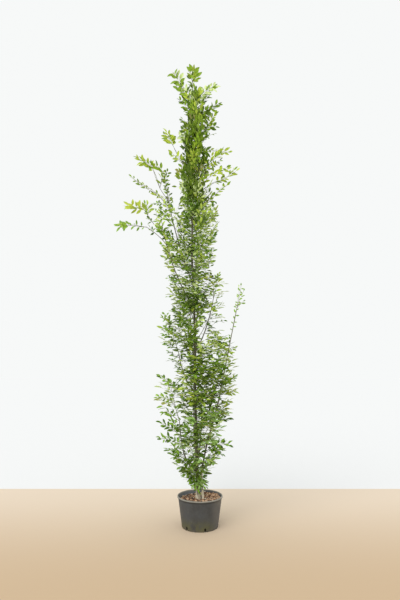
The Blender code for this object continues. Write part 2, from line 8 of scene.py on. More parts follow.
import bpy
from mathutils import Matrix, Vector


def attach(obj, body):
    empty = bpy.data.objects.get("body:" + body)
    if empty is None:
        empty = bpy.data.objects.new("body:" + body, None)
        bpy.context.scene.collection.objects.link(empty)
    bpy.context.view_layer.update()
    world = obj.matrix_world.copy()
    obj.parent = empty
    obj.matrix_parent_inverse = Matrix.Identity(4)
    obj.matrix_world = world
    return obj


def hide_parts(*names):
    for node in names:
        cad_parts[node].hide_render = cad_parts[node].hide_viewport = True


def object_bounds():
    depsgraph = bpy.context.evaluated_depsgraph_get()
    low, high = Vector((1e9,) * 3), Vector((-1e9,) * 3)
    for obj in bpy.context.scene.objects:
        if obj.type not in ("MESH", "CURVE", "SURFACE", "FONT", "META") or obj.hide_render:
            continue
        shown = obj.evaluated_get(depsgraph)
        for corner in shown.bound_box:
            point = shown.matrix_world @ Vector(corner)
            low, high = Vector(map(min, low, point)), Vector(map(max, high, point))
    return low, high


bl_info = {
    "name": "Potted Columnar Hornbeam",
    "version": (1, 0, 0),
    "blender": (4, 5, 0),
    "location": "3D View > Sidebar > Hornbeam",
    "description": "Builds the bark, twigs, leaves, mulch and pot of a young upright hornbeam",
    "category": "Add Mesh",
}

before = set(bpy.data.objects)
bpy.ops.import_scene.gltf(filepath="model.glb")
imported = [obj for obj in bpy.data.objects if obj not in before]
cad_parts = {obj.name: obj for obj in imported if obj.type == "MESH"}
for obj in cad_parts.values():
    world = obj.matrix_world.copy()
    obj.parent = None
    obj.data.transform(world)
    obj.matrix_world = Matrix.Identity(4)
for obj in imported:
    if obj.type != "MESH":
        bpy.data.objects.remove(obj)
CAD_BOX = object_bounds()

import math

import bpy
import numpy as np
from bpy.props import FloatProperty, FloatVectorProperty, IntProperty, PointerProperty
from mathutils import Matrix

BODY = "root"
SEED = 11
GAP = 0.0003
UP = np.array([0.0, 0.0, 1.0])

# Trunk and second stem: sideways lean at a few heights, taper and flares, points of the solids'
# axes and of the skins, and how the lean is evened out
SOIL_LEVEL = 0.229
TRUNK_FOOT = SOIL_LEVEL + GAP
TRUNK_TOP = 4.14
LEAN_HEIGHTS = (0.22, 0.60, 0.95, 1.30, 1.65, 2.10, 2.40, 2.80, 3.30, 3.80, 4.30)
LEAN_X = (-0.018, -0.030, -0.040, -0.050, -0.046, -0.060, -0.078, -0.073, -0.090, -0.070, -0.080)
LEAN_Y = (0.004, 0.000, -0.006, 0.004, 0.010, 0.002, -0.008, -0.004, 0.006, 0.000, -0.006)
STEM_TOP = 1.93
STEM_HEIGHTS = (0.22, 0.46, 0.68, 1.05, 1.65, 1.93)
STEM_X = (0.027, 0.012, 0.055, 0.160, 0.285, 0.345)
STEM_Y = (-0.020, -0.024, -0.032, -0.050, -0.035, -0.010)
STEM_FLARE = 0.004
STEM_FLARE_HEIGHT = 0.03
TRUNK_TAPER = 0.85
FLARE_ROOTS = 5
TRUNK_POINTS = 26
TRUNK_CROWDING = 1.15
STEM_AXIS_POINTS = 15
TRUNK_SKIN_RINGS = 460
STEM_SKIN_RINGS = 220
LEAN_POINTS = 120
LEAN_WINDOW = 17

# Outline of the close crown seen from the front, as distances from the pot's axis
EDGE_HEIGHTS = (0.30, 0.42, 0.55, 0.70, 0.90, 1.15, 1.40, 1.60, 1.85, 2.05, 2.25, 2.50, 2.80,
                3.00, 3.25, 3.50, 3.80, 4.10, 4.25, 4.42)
LEFT_EDGE = (0.05, 0.14, 0.25, 0.34, 0.36, 0.36, 0.33, 0.36, 0.35, 0.33, 0.31, 0.37, 0.42,
             0.37, 0.35, 0.22, 0.20, 0.24, 0.30, 0.20)
RIGHT_EDGE = (0.04, 0.07, 0.16, 0.24, 0.27, 0.31, 0.35, 0.32, 0.24, 0.21, 0.12, 0.14, 0.18,
              0.16, 0.10, 0.06, 0.08, 0.12, 0.10, 0.00)
DEPTH = (0.05, 0.13, 0.21, 0.28, 0.31, 0.32, 0.32, 0.31, 0.28, 0.26, 0.24, 0.25, 0.26,
         0.24, 0.22, 0.18, 0.16, 0.14, 0.12, 0.08)

# Viewpoint of the outline, and the camera's
VIEW_DISTANCE = 4.266
VIEW_HEIGHT = 1.421
VIEW_PITCH = math.radians(7.82)

# Boughs: parent, foot (height on the trunk, or share of the parent's length), azimuth,
# reach, rise, arch (positive leaves the parent early and then turns up), foot and tip radius
BOUGHS = {
    "bough_left_low": ("trunk", 0.46, 188, 0.160, 0.440, 0.75, 0.0070, 0.0038),
    "bough_back_low": ("trunk", 0.52, 74, 0.150, 0.420, 0.60, 0.0068, 0.0036),
    "bough_front_low": ("trunk", 0.62, 258, 0.140, 0.400, 0.60, 0.0066, 0.0036),
    "bough_right_low": ("trunk", 0.84, 22, 0.190, 0.330, 0.45, 0.0066, 0.0034),
    "bough_left_mid": ("trunk", 1.16, 172, 0.150, 0.340, 0.45, 0.0064, 0.0034),
    "bough_back_mid": ("trunk", 1.42, 112, 0.130, 0.560, 0.55, 0.0062, 0.0034),
    "bough_right_mid": ("trunk", 1.52, 8, 0.175, 0.500, 0.30, 0.0062, 0.0032),
    "bough_front_mid": ("trunk", 1.66, 285, 0.120, 0.540, 0.55, 0.0060, 0.0032),
    "bough_left_outer": ("trunk", 1.93, 184, 0.285, 0.690, 0.25, 0.0062, 0.0034),
    "bough_left_leader": ("trunk", 2.16, 178, 0.250, 0.860, 0.20, 0.0062, 0.0032),
    "bough_left_reach_low": ("bough_left_outer", 0.88, 189, 0.200, 0.170, -0.20, 0.0032, 0.0024),
    "bough_left_reach_mid": ("bough_left_outer", 0.97, 176, 0.170, 0.230, 0.05, 0.0032, 0.0024),
    "bough_left_reach_high": ("bough_left_leader", 0.86, 187, 0.120, 0.140, 0.00, 0.0032, 0.0024),
    "bough_left_reach_top": ("bough_left_leader", 0.96, 172, 0.085, 0.125, 0.10, 0.0030, 0.0024),
}
BOUGH_STEP = 0.11

# Foliage that carries a bough on, or stands out of the close crown: parent, foot, azimuth,
# reach, rise, arch, bare share of the stem, fullness
REACHING = {
    "foliage_second_stem": ("second_stem", 1.0, 5, 0.030, 0.180, 0.10, 0.06, 8),
    "foliage_left_low": ("bough_left_low", 1.0, 196, 0.090, 0.340, 0.10, 0.06, 15),
    "foliage_back_low": ("bough_back_low", 1.0, 80, 0.080, 0.330, 0.10, 0.06, 14),
    "foliage_front_low": ("bough_front_low", 1.0, 250, 0.080, 0.330, 0.10, 0.06, 14),
    "foliage_right_low": ("bough_right_low", 1.0, 10, 0.090, 0.310, 0.10, 0.06, 14),
    "foliage_left_mid": ("bough_left_mid", 1.0, 190, 0.100, 0.300, 0.00, 0.08, 13),
    "foliage_back_mid": ("bough_back_mid", 1.0, 100, 0.060, 0.340, 0.10, 0.08, 14),
    "foliage_right_mid": ("bough_right_mid", 1.0, 15, 0.045, 0.210, 0.20, 0.08, 11),
    "foliage_front_mid": ("bough_front_mid", 1.0, 272, 0.060, 0.330, 0.10, 0.08, 14),
    "foliage_left_outer": ("bough_left_outer", 1.0, 200, 0.045, 0.230, 0.10, 0.08, 9),
    "foliage_left_leader": ("bough_left_leader", 1.0, 168, 0.035, 0.250, 0.20, 0.06, 9),
    "foliage_back_high": ("trunk", 2.36, 70, 0.150, 0.480, 0.10, 0.26, 14),
    "foliage_reach_low": ("bough_left_reach_low", 1.0, 184, 0.205, 0.030, 0.00, 0.30, 9),
    "foliage_reach_mid": ("bough_left_reach_mid", 1.0, 180, 0.165, 0.060, 0.10, 0.08, 9),
    "foliage_reach_high": ("bough_left_reach_high", 1.0, 176, 0.195, 0.095, -0.10, 0.26, 8),
    "foliage_reach_top": ("bough_left_reach_top", 1.0, 182, 0.170, 0.190, 0.15, 0.10, 9),
    "foliage_twig_left": ("trunk", 3.32, 184, 0.210, 0.320, 0.10, 0.42, 8),
    "foliage_twig_right": ("trunk", 3.20, 6, 0.350, 0.290, 0.15, 0.38, 9),
    "foliage_wing_right": ("trunk", 3.02, -12, 0.385, 0.250, -0.05, 0.34, 9),
    "foliage_spray_right": ("trunk", 2.76, 10, 0.345, 0.370, 0.05, 0.36, 10),
    "foliage_tip_left": ("trunk", 3.80, 176, 0.190, 0.440, 0.20, 0.16, 13),
    "foliage_tip_right": ("trunk", 3.78, 8, 0.230, 0.340, 0.15, 0.16, 12),
    "foliage_side_right": ("trunk", 3.50, -16, 0.180, 0.300, 0.15, 0.18, 12),
    "foliage_top": ("trunk", 1.0, 60, 0.012, 0.150, 0.00, 0.00, 9),
}

# Foliage of the close crown, placed round the trunk by the golden angle, and how the stems of
# all the foliage are kept clear of each other: the first points of a stem don't count
TIERS = 18
TIER_FIRST = 0.325
TIER_LAST = 3.46
TIER_CROWDING = 1.42
TIER_AZIMUTH = 205.0
GOLDEN = 137.508
TIER_RISE = 0.36
TIER_FILL = 0.74
TIER_LEAVES = (18, 13)
TIER_BARE = 0.22
TIER_REACH_LEAST = 0.05
STEM_RINGS = 25
STEM_CLEARANCE = 0.019
STEM_TURN = 9.0
STEM_TURNS = 21
STEM_POINTS = 40
STEM_FOOT = 5
BOUGH_POINTS = 60

# Sky seen through the crown: across, height, half width, half height
SKY = (
    (-0.225, 3.06, 0.022, 0.17),
    (-0.235, 2.68, 0.020, 0.10),
    (-0.180, 2.275, 0.020, 0.012),
    (0.030, 1.72, 0.032, 0.065),
    (-0.140, 1.42, 0.050, 0.018),
    (-0.150, 0.95, 0.018, 0.022),
    (0.070, 0.82, 0.024, 0.032),
)

# Places where the crown is thin, given as the sky is
THIN = (
    (-0.28, 1.39, 0.05, 0.06), (-0.15, 1.27, 0.05, 0.03), (-0.31, 1.17, 0.07, 0.05),
    (-0.27, 1.03, 0.05, 0.05), (-0.10, 1.02, 0.03, 0.03), (-0.19, 0.93, 0.04, 0.04),
    (-0.24, 0.78, 0.04, 0.03), (-0.08, 0.83, 0.02, 0.05), (-0.09, 0.64, 0.04, 0.04),
    (0.06, 0.83, 0.03, 0.03), (0.02, 0.60, 0.03, 0.05), (0.11, 0.61, 0.05, 0.03),
    (0.17, 1.13, 0.03, 0.04), (0.24, 1.12, 0.04, 0.05), (0.14, 1.48, 0.03, 0.05),
    (0.03, 1.07, 0.02, 0.02), (-0.05, 0.98, 0.02, 0.04), (-0.20, 0.50, 0.04, 0.03),
    (0.11, 0.48, 0.05, 0.04), (-0.30, 0.68, 0.05, 0.03), (0.25, 0.83, 0.06, 0.06),
    (0.19, 1.04, 0.03, 0.03), (0.04, 1.70, 0.04, 0.10), (-0.10, 1.86, 0.03, 0.03),
    (-0.20, 1.73, 0.03, 0.03), (-0.27, 1.65, 0.04, 0.03), (0.10, 1.86, 0.06, 0.06),
    (-0.16, 2.26, 0.05, 0.03), (-0.22, 2.29, 0.03, 0.03), (0.02, 2.27, 0.02, 0.03),
    (-0.17, 2.14, 0.03, 0.02), (-0.25, 2.47, 0.04, 0.03), (-0.16, 2.37, 0.03, 0.02),
    (-0.31, 1.95, 0.04, 0.04), (0.18, 1.75, 0.05, 0.05), (-0.23, 2.86, 0.04, 0.10),
    (0.10, 3.10, 0.06, 0.16), (0.05, 3.55, 0.03, 0.06), (0.08, 4.02, 0.06, 0.05),
    (-0.02, 3.96, 0.02, 0.02), (-0.14, 3.95, 0.02, 0.02), (-0.06, 3.80, 0.015, 0.03),
)

# Stretches where the trunk shows, as nothing grows in front of it
SHOWING = (
    (-0.085, 2.72, 0.018, 0.11), (-0.075, 2.38, 0.014, 0.12), (-0.058, 1.83, 0.014, 0.10),
    (-0.045, 1.55, 0.014, 0.07), (-0.04, 1.20, 0.014, 0.05), (-0.03, 0.95, 0.014, 0.10),
    (-0.02, 0.63, 0.016, 0.06),
)

# Places where it is dense
DENSE = (
    (0.10, 1.28, 0.18, 0.20), (0.10, 0.98, 0.16, 0.12), (-0.02, 2.00, 0.10, 0.10),
    (-0.10, 3.20, 0.07, 0.25), (-0.21, 2.36, 0.12, 0.14), (-0.18, 2.08, 0.10, 0.12),
)

# Close crown as far as short twigs fill it: height, left and right of the pot's axis
FILL = (
    (0.29, 0.05, 0.03), (0.42, 0.11, 0.03), (0.51, 0.15, 0.08), (0.61, 0.20, 0.08), (0.70, 0.25, 0.15),
    (0.80, 0.26, 0.14), (0.90, 0.22, 0.23), (1.09, 0.19, 0.27), (1.24, 0.22, 0.32), (1.39, 0.20, 0.29),
    (1.59, 0.26, 0.30), (1.72, 0.30, 0.18), (1.82, 0.30, 0.09), (1.90, 0.25, 0.09), (2.05, 0.26, 0.12),
    (2.21, 0.27, 0.15), (2.34, 0.31, 0.12), (2.42, 0.35, 0.15), (2.60, 0.38, 0.17), (2.75, 0.28, 0.17),
    (2.90, 0.20, 0.17), (3.08, 0.18, 0.10), (3.30, 0.17, 0.08), (3.42, 0.17, 0.06), (3.60, 0.15, 0.05),
    (3.88, 0.15, 0.05), (4.00, 0.15, 0.03), (4.10, 0.13, 0.01),
)

# Outer sprays as they show from the front: knots (across, height) from a limb to the tip,
# leaves, leaf length, tint, and the share of the spray that is bare
SPRAYS = (
    (((-0.314, 3.02), (-0.325, 3.12), (-0.330, 3.20), (-0.320, 3.28)), 13, 0.038, "mid", 0.0),
    (((-0.285, 2.86), (-0.290, 2.95), (-0.310, 3.05), (-0.335, 3.12)), 11, 0.036, "mid", 0.05),
    (((-0.265, 2.74), (-0.275, 2.84), (-0.320, 2.92), (-0.345, 2.97)), 11, 0.038, "light", 0.15),
    (((-0.326, 3.19), (-0.36, 3.275), (-0.41, 3.31), (-0.46, 3.35)), 10, 0.054, "light", 0.15),
    (((-0.391, 3.11), (-0.42, 3.21), (-0.47, 3.32), (-0.54, 3.365), (-0.615, 3.41)), 11, 0.056, "light", 0.52),
    (((-0.408, 3.04), (-0.50, 3.11), (-0.57, 3.145), (-0.66, 3.20)), 10, 0.038, "light", 0.28),
    (((-0.305, 2.97), (-0.38, 3.01), (-0.44, 3.045)), 4, 0.044, "light", 0.40),
    (((-0.300, 2.93), (-0.37, 2.94), (-0.44, 2.95)), 5, 0.036, "mid", 0.35),
    (((-0.503, 2.83), (-0.50, 2.89), (-0.51, 2.96)), 8, 0.050, "light", 0.10),
    (((-0.503, 2.83), (-0.54, 2.89), (-0.61, 2.905), (-0.705, 2.935)), 13, 0.056, "bright", 0.30),
    (((-0.45, 2.77), (-0.47, 2.78), (-0.50, 2.785)), 2, 0.050, "mid", 0.20),
    (((-0.513, 2.705), (-0.58, 2.72), (-0.65, 2.73), (-0.72, 2.725)), 8, 0.040, "mid", 0.0),
    (((-0.513, 2.705), (-0.58, 2.72), (-0.68, 2.735), (-0.80, 2.725)), 10, 0.056, "light", 0.66),
    (((-0.42, 2.655), (-0.46, 2.67), (-0.49, 2.685)), 2, 0.046, "mid", 0.20),
    (((-0.339, 2.62), (-0.375, 2.70), (-0.395, 2.78), (-0.405, 2.87)), 10, 0.036, "light", 0.0),
    (((-0.086, 3.24), (-0.19, 3.38), (-0.245, 3.49), (-0.285, 3.59), (-0.335, 3.69)), 11, 0.058, "light", 0.72),
    (((-0.084, 3.28), (-0.17, 3.36), (-0.235, 3.43), (-0.285, 3.465)), 4, 0.056, "light", 0.55),
    (((-0.075, 4.00), (-0.14, 4.10), (-0.19, 4.18), (-0.235, 4.26), (-0.285, 4.34)), 19, 0.066, "mid", 0.20),
    (((-0.075, 3.98), (-0.13, 4.06), (-0.18, 4.12), (-0.235, 4.15)), 8, 0.060, "mid", 0.15),
    (((-0.077, 4.06), (-0.070, 4.17), (-0.078, 4.26), (-0.085, 4.33)), 9, 0.058, "mid", 0.0),
    (((-0.077, 4.13), (-0.078, 4.28), (-0.080, 4.36)), 11, 0.068, "light", 0.45),
    (((-0.075, 3.92), (-0.01, 4.02), (0.045, 4.10), (0.10, 4.145), (0.155, 4.155)), 15, 0.058, "mid", 0.25),
    (((-0.072, 3.90), (-0.04, 4.00), (-0.02, 4.07), (0.0, 4.12)), 11, 0.058, "mid", 0.10),
    (((-0.072, 3.88), (0.0, 3.96), (0.05, 4.02), (0.09, 4.08)), 8, 0.056, "mid", 0.40),
    (((-0.075, 3.80), (0.0, 3.87), (0.07, 3.91), (0.13, 3.92)), 8, 0.054, "mid", 0.35),
    (((-0.078, 3.58), (0.0, 3.67), (0.07, 3.72), (0.14, 3.76)), 9, 0.052, "mid", 0.30),
    (((-0.085, 3.84), (-0.13, 3.93), (-0.17, 3.99), (-0.20, 4.03)), 8, 0.054, "mid", 0.15),
    (((-0.085, 3.68), (-0.13, 3.76), (-0.18, 3.82)), 7, 0.052, "mid", 0.15),
    (((-0.085, 3.56), (-0.14, 3.63), (-0.19, 3.66)), 7, 0.048, "mid", 0.15),
    (((-0.072, 3.74), (-0.01, 3.84), (0.06, 3.91), (0.13, 3.95), (0.20, 3.985)), 8, 0.050, "mid", 0.35),
    (((-0.080, 3.48), (0.02, 3.62), (0.07, 3.73), (0.105, 3.80), (0.155, 3.88)), 13, 0.050, "light", 0.35),
    (((-0.075, 3.68), (0.0, 3.79), (0.05, 3.84), (0.10, 3.865)), 7, 0.052, "mid", 0.35),
    (((-0.082, 3.42), (0.0, 3.54), (0.07, 3.64), (0.15, 3.67)), 7, 0.030, "mid", 0.45),
    (((-0.082, 3.36), (0.0, 3.46), (0.07, 3.50)), 3, 0.064, "mid", 0.75),
    (((-0.086, 3.18), (0.02, 3.29), (0.10, 3.37), (0.18, 3.43), (0.25, 3.495)), 10, 0.054, "light", 0.45),
    (((-0.086, 3.16), (0.04, 3.28), (0.11, 3.34), (0.20, 3.385)), 9, 0.036, "mid", 0.45),
    (((0.18, 3.43), (0.24, 3.465), (0.30, 3.48)), 7, 0.048, "light", 0.0),
    (((-0.080, 3.02), (0.01, 3.13), (0.08, 3.21), (0.18, 3.265), (0.28, 3.30)), 14, 0.054, "light", 0.30),
    (((-0.080, 2.99), (0.10, 3.14), (0.22, 3.19), (0.30, 3.235), (0.37, 3.29)), 11, 0.054, "light", 0.50),
    (((-0.075, 2.76), (0.05, 2.93), (0.13, 3.01), (0.19, 3.08), (0.27, 3.14)), 10, 0.052, "light", 0.42),
    (((0.265, 1.57), (0.315, 1.80), (0.345, 1.93), (0.372, 2.03), (0.388, 2.15)), 20, 0.029, "mid", 0.10),
    (((0.345, 1.93), (0.385, 1.97), (0.41, 2.00)), 2, 0.030, "mid", 0.30),
    (((0.365, 2.00), (0.395, 2.06), (0.415, 2.10)), 5, 0.030, "mid", 0.10),
    (((0.372, 2.03), (0.370, 2.09), (0.365, 2.14)), 5, 0.030, "light", 0.10),
    (((0.10, 1.93), (0.15, 1.97), (0.165, 2.03), (0.20, 2.04)), 8, 0.026, "mid", 0.10),
    (((0.126, 2.02), (0.13, 2.12), (0.15, 2.20), (0.18, 2.265)), 9, 0.036, "light", 0.15),
    (((0.085, 1.86), (0.14, 1.85), (0.19, 1.87)), 4, 0.026, "mid", 0.20),
    (((0.07, 1.80), (0.14, 1.80), (0.23, 1.815)), 5, 0.034, "deep", 0.30),
    (((-0.09, 1.06), (-0.19, 1.17), (-0.27, 1.245), (-0.37, 1.31)), 13, 0.046, "mid", 0.30),
    (((-0.21, 1.04), (-0.28, 1.09), (-0.34, 1.11), (-0.40, 1.11)), 8, 0.042, "mid", 0.20),
    (((-0.18, 0.90), (-0.25, 0.95), (-0.30, 0.985), (-0.345, 0.98)), 8, 0.040, "mid", 0.40),
    (((-0.16, 0.82), (-0.22, 0.87), (-0.27, 0.905)), 6, 0.046, "mid", 0.20),
    (((-0.14, 0.74), (-0.22, 0.81), (-0.29, 0.85), (-0.355, 0.88)), 11, 0.044, "mid", 0.25),
    (((-0.11, 0.66), (-0.20, 0.71), (-0.29, 0.735), (-0.365, 0.755)), 10, 0.042, "mid", 0.25),
    (((-0.09, 0.58), (-0.17, 0.62), (-0.24, 0.65), (-0.30, 0.655)), 10, 0.042, "mid", 0.25),
    (((-0.08, 0.50), (-0.14, 0.55), (-0.20, 0.585), (-0.25, 0.605)), 8, 0.042, "mid", 0.20),
    (((-0.06, 0.44), (-0.11, 0.47), (-0.16, 0.495), (-0.205, 0.495)), 7, 0.042, "mid", 0.20),
    (((-0.06, 0.45), (-0.10, 0.455), (-0.16, 0.43)), 6, 0.040, "light", 0.20),
    (((-0.03, 0.36), (-0.06, 0.39), (-0.095, 0.40)), 5, 0.044, "mid", 0.15),
    (((-0.03, 0.45), (-0.045, 0.40), (-0.06, 0.34)), 6, 0.044, "light", 0.10),
    (((-0.02, 0.44), (-0.01, 0.39), (0.00, 0.33)), 7, 0.044, "light", 0.15),
    (((-0.02, 0.40), (-0.03, 0.35), (-0.02, 0.305)), 6, 0.042, "mid", 0.10),
    (((-0.01, 0.42), (0.02, 0.37), (0.035, 0.32)), 6, 0.042, "mid", 0.15),
    (((-0.02, 0.48), (-0.05, 0.44), (-0.09, 0.38)), 6, 0.046, "mid", 0.15),
    (((-0.20, 2.40), (-0.25, 2.50), (-0.30, 2.58), (-0.34, 2.66)), 11, 0.042, "mid", 0.05),
    (((-0.22, 2.46), (-0.29, 2.50), (-0.37, 2.55)), 9, 0.042, "light", 0.10),
    (((-0.25, 2.52), (-0.31, 2.62), (-0.38, 2.70)), 11, 0.040, "mid", 0.05),
    (((-0.28, 2.60), (-0.34, 2.66), (-0.41, 2.71)), 8, 0.040, "mid", 0.10),
    (((-0.19, 2.34), (-0.26, 2.39), (-0.34, 2.42)), 9, 0.042, "light", 0.15),
    (((-0.075, 2.84), (0.02, 2.93), (0.09, 2.99), (0.13, 3.03)), 10, 0.044, "mid", 0.30),
    (((-0.075, 2.64), (0.03, 2.73), (0.10, 2.79), (0.15, 2.82)), 10, 0.044, "light", 0.30),
    (((-0.07, 2.46), (0.02, 2.54), (0.09, 2.60), (0.14, 2.64)), 10, 0.044, "mid", 0.30),
    (((-0.06, 2.32), (0.02, 2.40), (0.08, 2.45), (0.13, 2.48)), 9, 0.044, "mid", 0.30),
    (((-0.19, 1.46), (-0.23, 1.48), (-0.29, 1.53)), 5, 0.036, "mid", 0.20),
    (((-0.17, 1.42), (-0.21, 1.44), (-0.27, 1.45)), 5, 0.036, "mid", 0.20),
    (((-0.13, 1.33), (-0.17, 1.36), (-0.22, 1.38)), 6, 0.040, "mid", 0.15),
    (((-0.21, 1.55), (-0.28, 1.58), (-0.34, 1.605)), 7, 0.036, "mid", 0.25),
    (((-0.23, 1.62), (-0.28, 1.66), (-0.34, 1.685)), 7, 0.038, "mid", 0.20),
    (((-0.25, 1.70), (-0.30, 1.75), (-0.34, 1.76)), 6, 0.038, "mid", 0.20),
    (((-0.27, 1.76), (-0.31, 1.81), (-0.35, 1.85)), 8, 0.036, "light", 0.10),
    (((-0.29, 1.80), (-0.31, 1.86), (-0.34, 1.885)), 5, 0.034, "mid", 0.20),
    (((-0.17, 2.05), (-0.23, 2.06), (-0.31, 2.035)), 7, 0.034, "mid", 0.25),
    (((-0.19, 2.16), (-0.25, 2.20), (-0.31, 2.215)), 6, 0.034, "mid", 0.25),
    (((0.15, 1.20), (0.22, 1.23), (0.28, 1.26), (0.33, 1.30)), 11, 0.036, "light", 0.30),
    (((0.14, 1.14), (0.22, 1.15), (0.28, 1.165), (0.33, 1.18)), 7, 0.046, "bright", 0.55),
    (((0.09, 1.00), (0.17, 1.04), (0.23, 1.06), (0.285, 1.09)), 9, 0.042, "bright", 0.45),
    (((0.07, 0.93), (0.15, 0.93), (0.21, 0.96), (0.275, 0.985)), 9, 0.042, "light", 0.40),
    (((0.05, 0.87), (0.12, 0.89), (0.19, 0.905), (0.26, 0.92)), 10, 0.046, "mid", 0.30),
    (((0.03, 0.62), (0.10, 0.67), (0.17, 0.695), (0.265, 0.71)), 12, 0.044, "mid", 0.25),
    (((0.03, 0.64), (0.09, 0.66), (0.15, 0.65), (0.20, 0.63)), 8, 0.040, "mid", 0.30),
    (((0.00, 0.50), (0.05, 0.54), (0.10, 0.565), (0.16, 0.57)), 9, 0.044, "mid", 0.20),
    (((-0.01, 0.46), (0.03, 0.48), (0.075, 0.51)), 6, 0.046, "light", 0.15),
    (((-0.01, 0.34), (0.02, 0.375), (0.055, 0.39)), 5, 0.044, "light", 0.15),
    (((0.16, 1.36), (0.21, 1.40), (0.26, 1.41)), 8, 0.046, "deep", 0.10),
    (((0.20, 1.46), (0.25, 1.52), (0.32, 1.565)), 8, 0.036, "light", 0.20),
)

# How far a spray may drift to the front or back at each knot, its leaves' gain in length, the
# leaf length from which it has a twin, and the height below which it hangs to the front
SPRAY_SPREAD = 0.035
SPRAY_LEAF = 1.22
TWIN_SIZE = 0.035
TUFT_BELOW = 0.42

# Masses whose place the outer sprays take
SPRAYED = ("foliage_second_stem", "foliage_reach_low", "foliage_reach_mid", "foliage_reach_high",
           "foliage_reach_top", "foliage_left_leader", "foliage_twig_left", "foliage_twig_right",
           "foliage_wing_right", "foliage_spray_right", "foliage_tip_left", "foliage_tip_right",
           "foliage_side_right", "foliage_top")

# Withered leaves: across, height
DRY_SPOTS = ((-0.13, 3.43), (-0.10, 3.82), (0.08, 1.15))

# Tints of the leaves, the first four from the lightest to the darkest, and those that take
# their place in sprays whose tips are above or below a height
LEAF_TINTS = ("bright", "light", "mid", "deep", "dry", "pale", "lime", "olive", "moss", "cool")
TOP_TINTS = {"light": "lime", "mid": "olive", "deep": "moss"}
TOP_TINTS_FROM = 2.95
# Near the pot the light tints give way to a paler, cooler one, partly a painted reflection of the sky on
# upturned leaves
FOOT_TINTS = {"bright": "cool", "light": "cool"}
FOOT_TINTS_TO = 1.02
LEAVES_IN_PIECE = 2400

# Stage: the camera's sensor, the key light's tilt, turn and width, and the floor's half width,
# with the edges of its pale band and the depths between which the band's colour fades
SENSOR = 36.0
KEY_TILT = math.radians(48)
KEY_TURN = math.radians(-32)
KEY_WIDTH = math.radians(45)
FLOOR_HALF = 40.0
BAND_SIDE = (3.02, 3.0)
BAND_BACK = (1.21, 1.20)
BAND_FRONT = (-1.62, -1.60)
BAND_FADE = (1.1, -1.3)


# Settings

def metres(name, description, default):
    return FloatProperty(name=name, description=description, default=default, unit="LENGTH")


def base_colour(name, description, default):
    return FloatVectorProperty(name=name, description=description, default=default, subtype="COLOR", size=3)


class PotSizes(bpy.types.PropertyGroup):
    """Sizes of the nursery pot."""

    height: metres("Height", "Floor to the top of the rim", 0.260)
    base_radius: metres("Base radius", "Outside of the wall at the foot", 0.159)
    rim_radius: metres("Rim radius", "Outside of the rolled rim", 0.200)
    rim_height: metres("Rim height", "Height of the rolled rim", 0.013)
    rim_reach: metres("Rim reach", "How far the rim stands out of the wall", 0.005)
    wall: metres("Wall", "Thickness of the wall", 0.0032)
    floor: metres("Floor", "Thickness of the floor", 0.0045)
    notches: IntProperty(name="Drain notches", description="Notches round the foot", default=6)
    notch_height: metres("Notch height", "Height of a drain notch", 0.030)
    notch_azimuth: FloatProperty(name="First notch", description="Azimuth of the first notch",
                                 default=math.radians(-75.0), subtype="ANGLE")


class MulchSizes(bpy.types.PropertyGroup):
    """Sizes of the soil and its bark chips."""

    mound: metres("Mound", "Swell of the soil round its level middle", 0.005)
    lumps: metres("Lumps", "Height of the crumbs of soil", 0.0035)
    chips: IntProperty(name="Chips", description="Number of bark chips", default=900)
    chip_length: metres("Chip length", "Length of a common chip", 0.025)
    heap: metres("Heap", "Height of the chips heaped at the back right", 0.011)


class LimbSizes(bpy.types.PropertyGroup):
    """Girth and relief of the trunk, the second stem and the boughs."""

    trunk_radius: metres("Trunk radius", "Trunk above its root flare", 0.0155)
    trunk_tip: metres("Trunk tip", "Radius where the trunk ends", 0.003)
    flare: metres("Root flare", "Added to the trunk's radius at the soil", 0.0085)
    flare_height: metres("Flare height", "Height over which the flare dies out", 0.045)
    stem_radius: metres("Second stem", "Radius of the second stem at its foot", 0.0088)
    stem_tip: metres("Second stem tip", "Radius of the second stem at its tip", 0.003)
    fluting: FloatProperty(name="Fluting",
                           description="Depth of the trunk's long furrows, as a share of its radius",
                           default=0.075, subtype="FACTOR")


class CrownSizes(bpy.types.PropertyGroup):
    """Sizes of the twigs and the leaves."""

    leaf_length: metres("Leaf length", "Blade of a full-grown leaf", 0.060)
    leaf_width: FloatProperty(name="Leaf width", description="Width of a blade, as a share of its length",
                              default=0.41, subtype="FACTOR")
    twig_length: metres("Twig length", "Length of a common twig", 0.165)
    twig_radius: metres("Twig radius", "Radius of a twig at its foot", 0.0017)
    stem_radius: metres("Stem radius", "Radius of a foliage stem at its foot", 0.0034)
    twig_share: FloatProperty(name="Twigs", description="Twigs for each unit of a mass's fullness",
                              default=0.42)


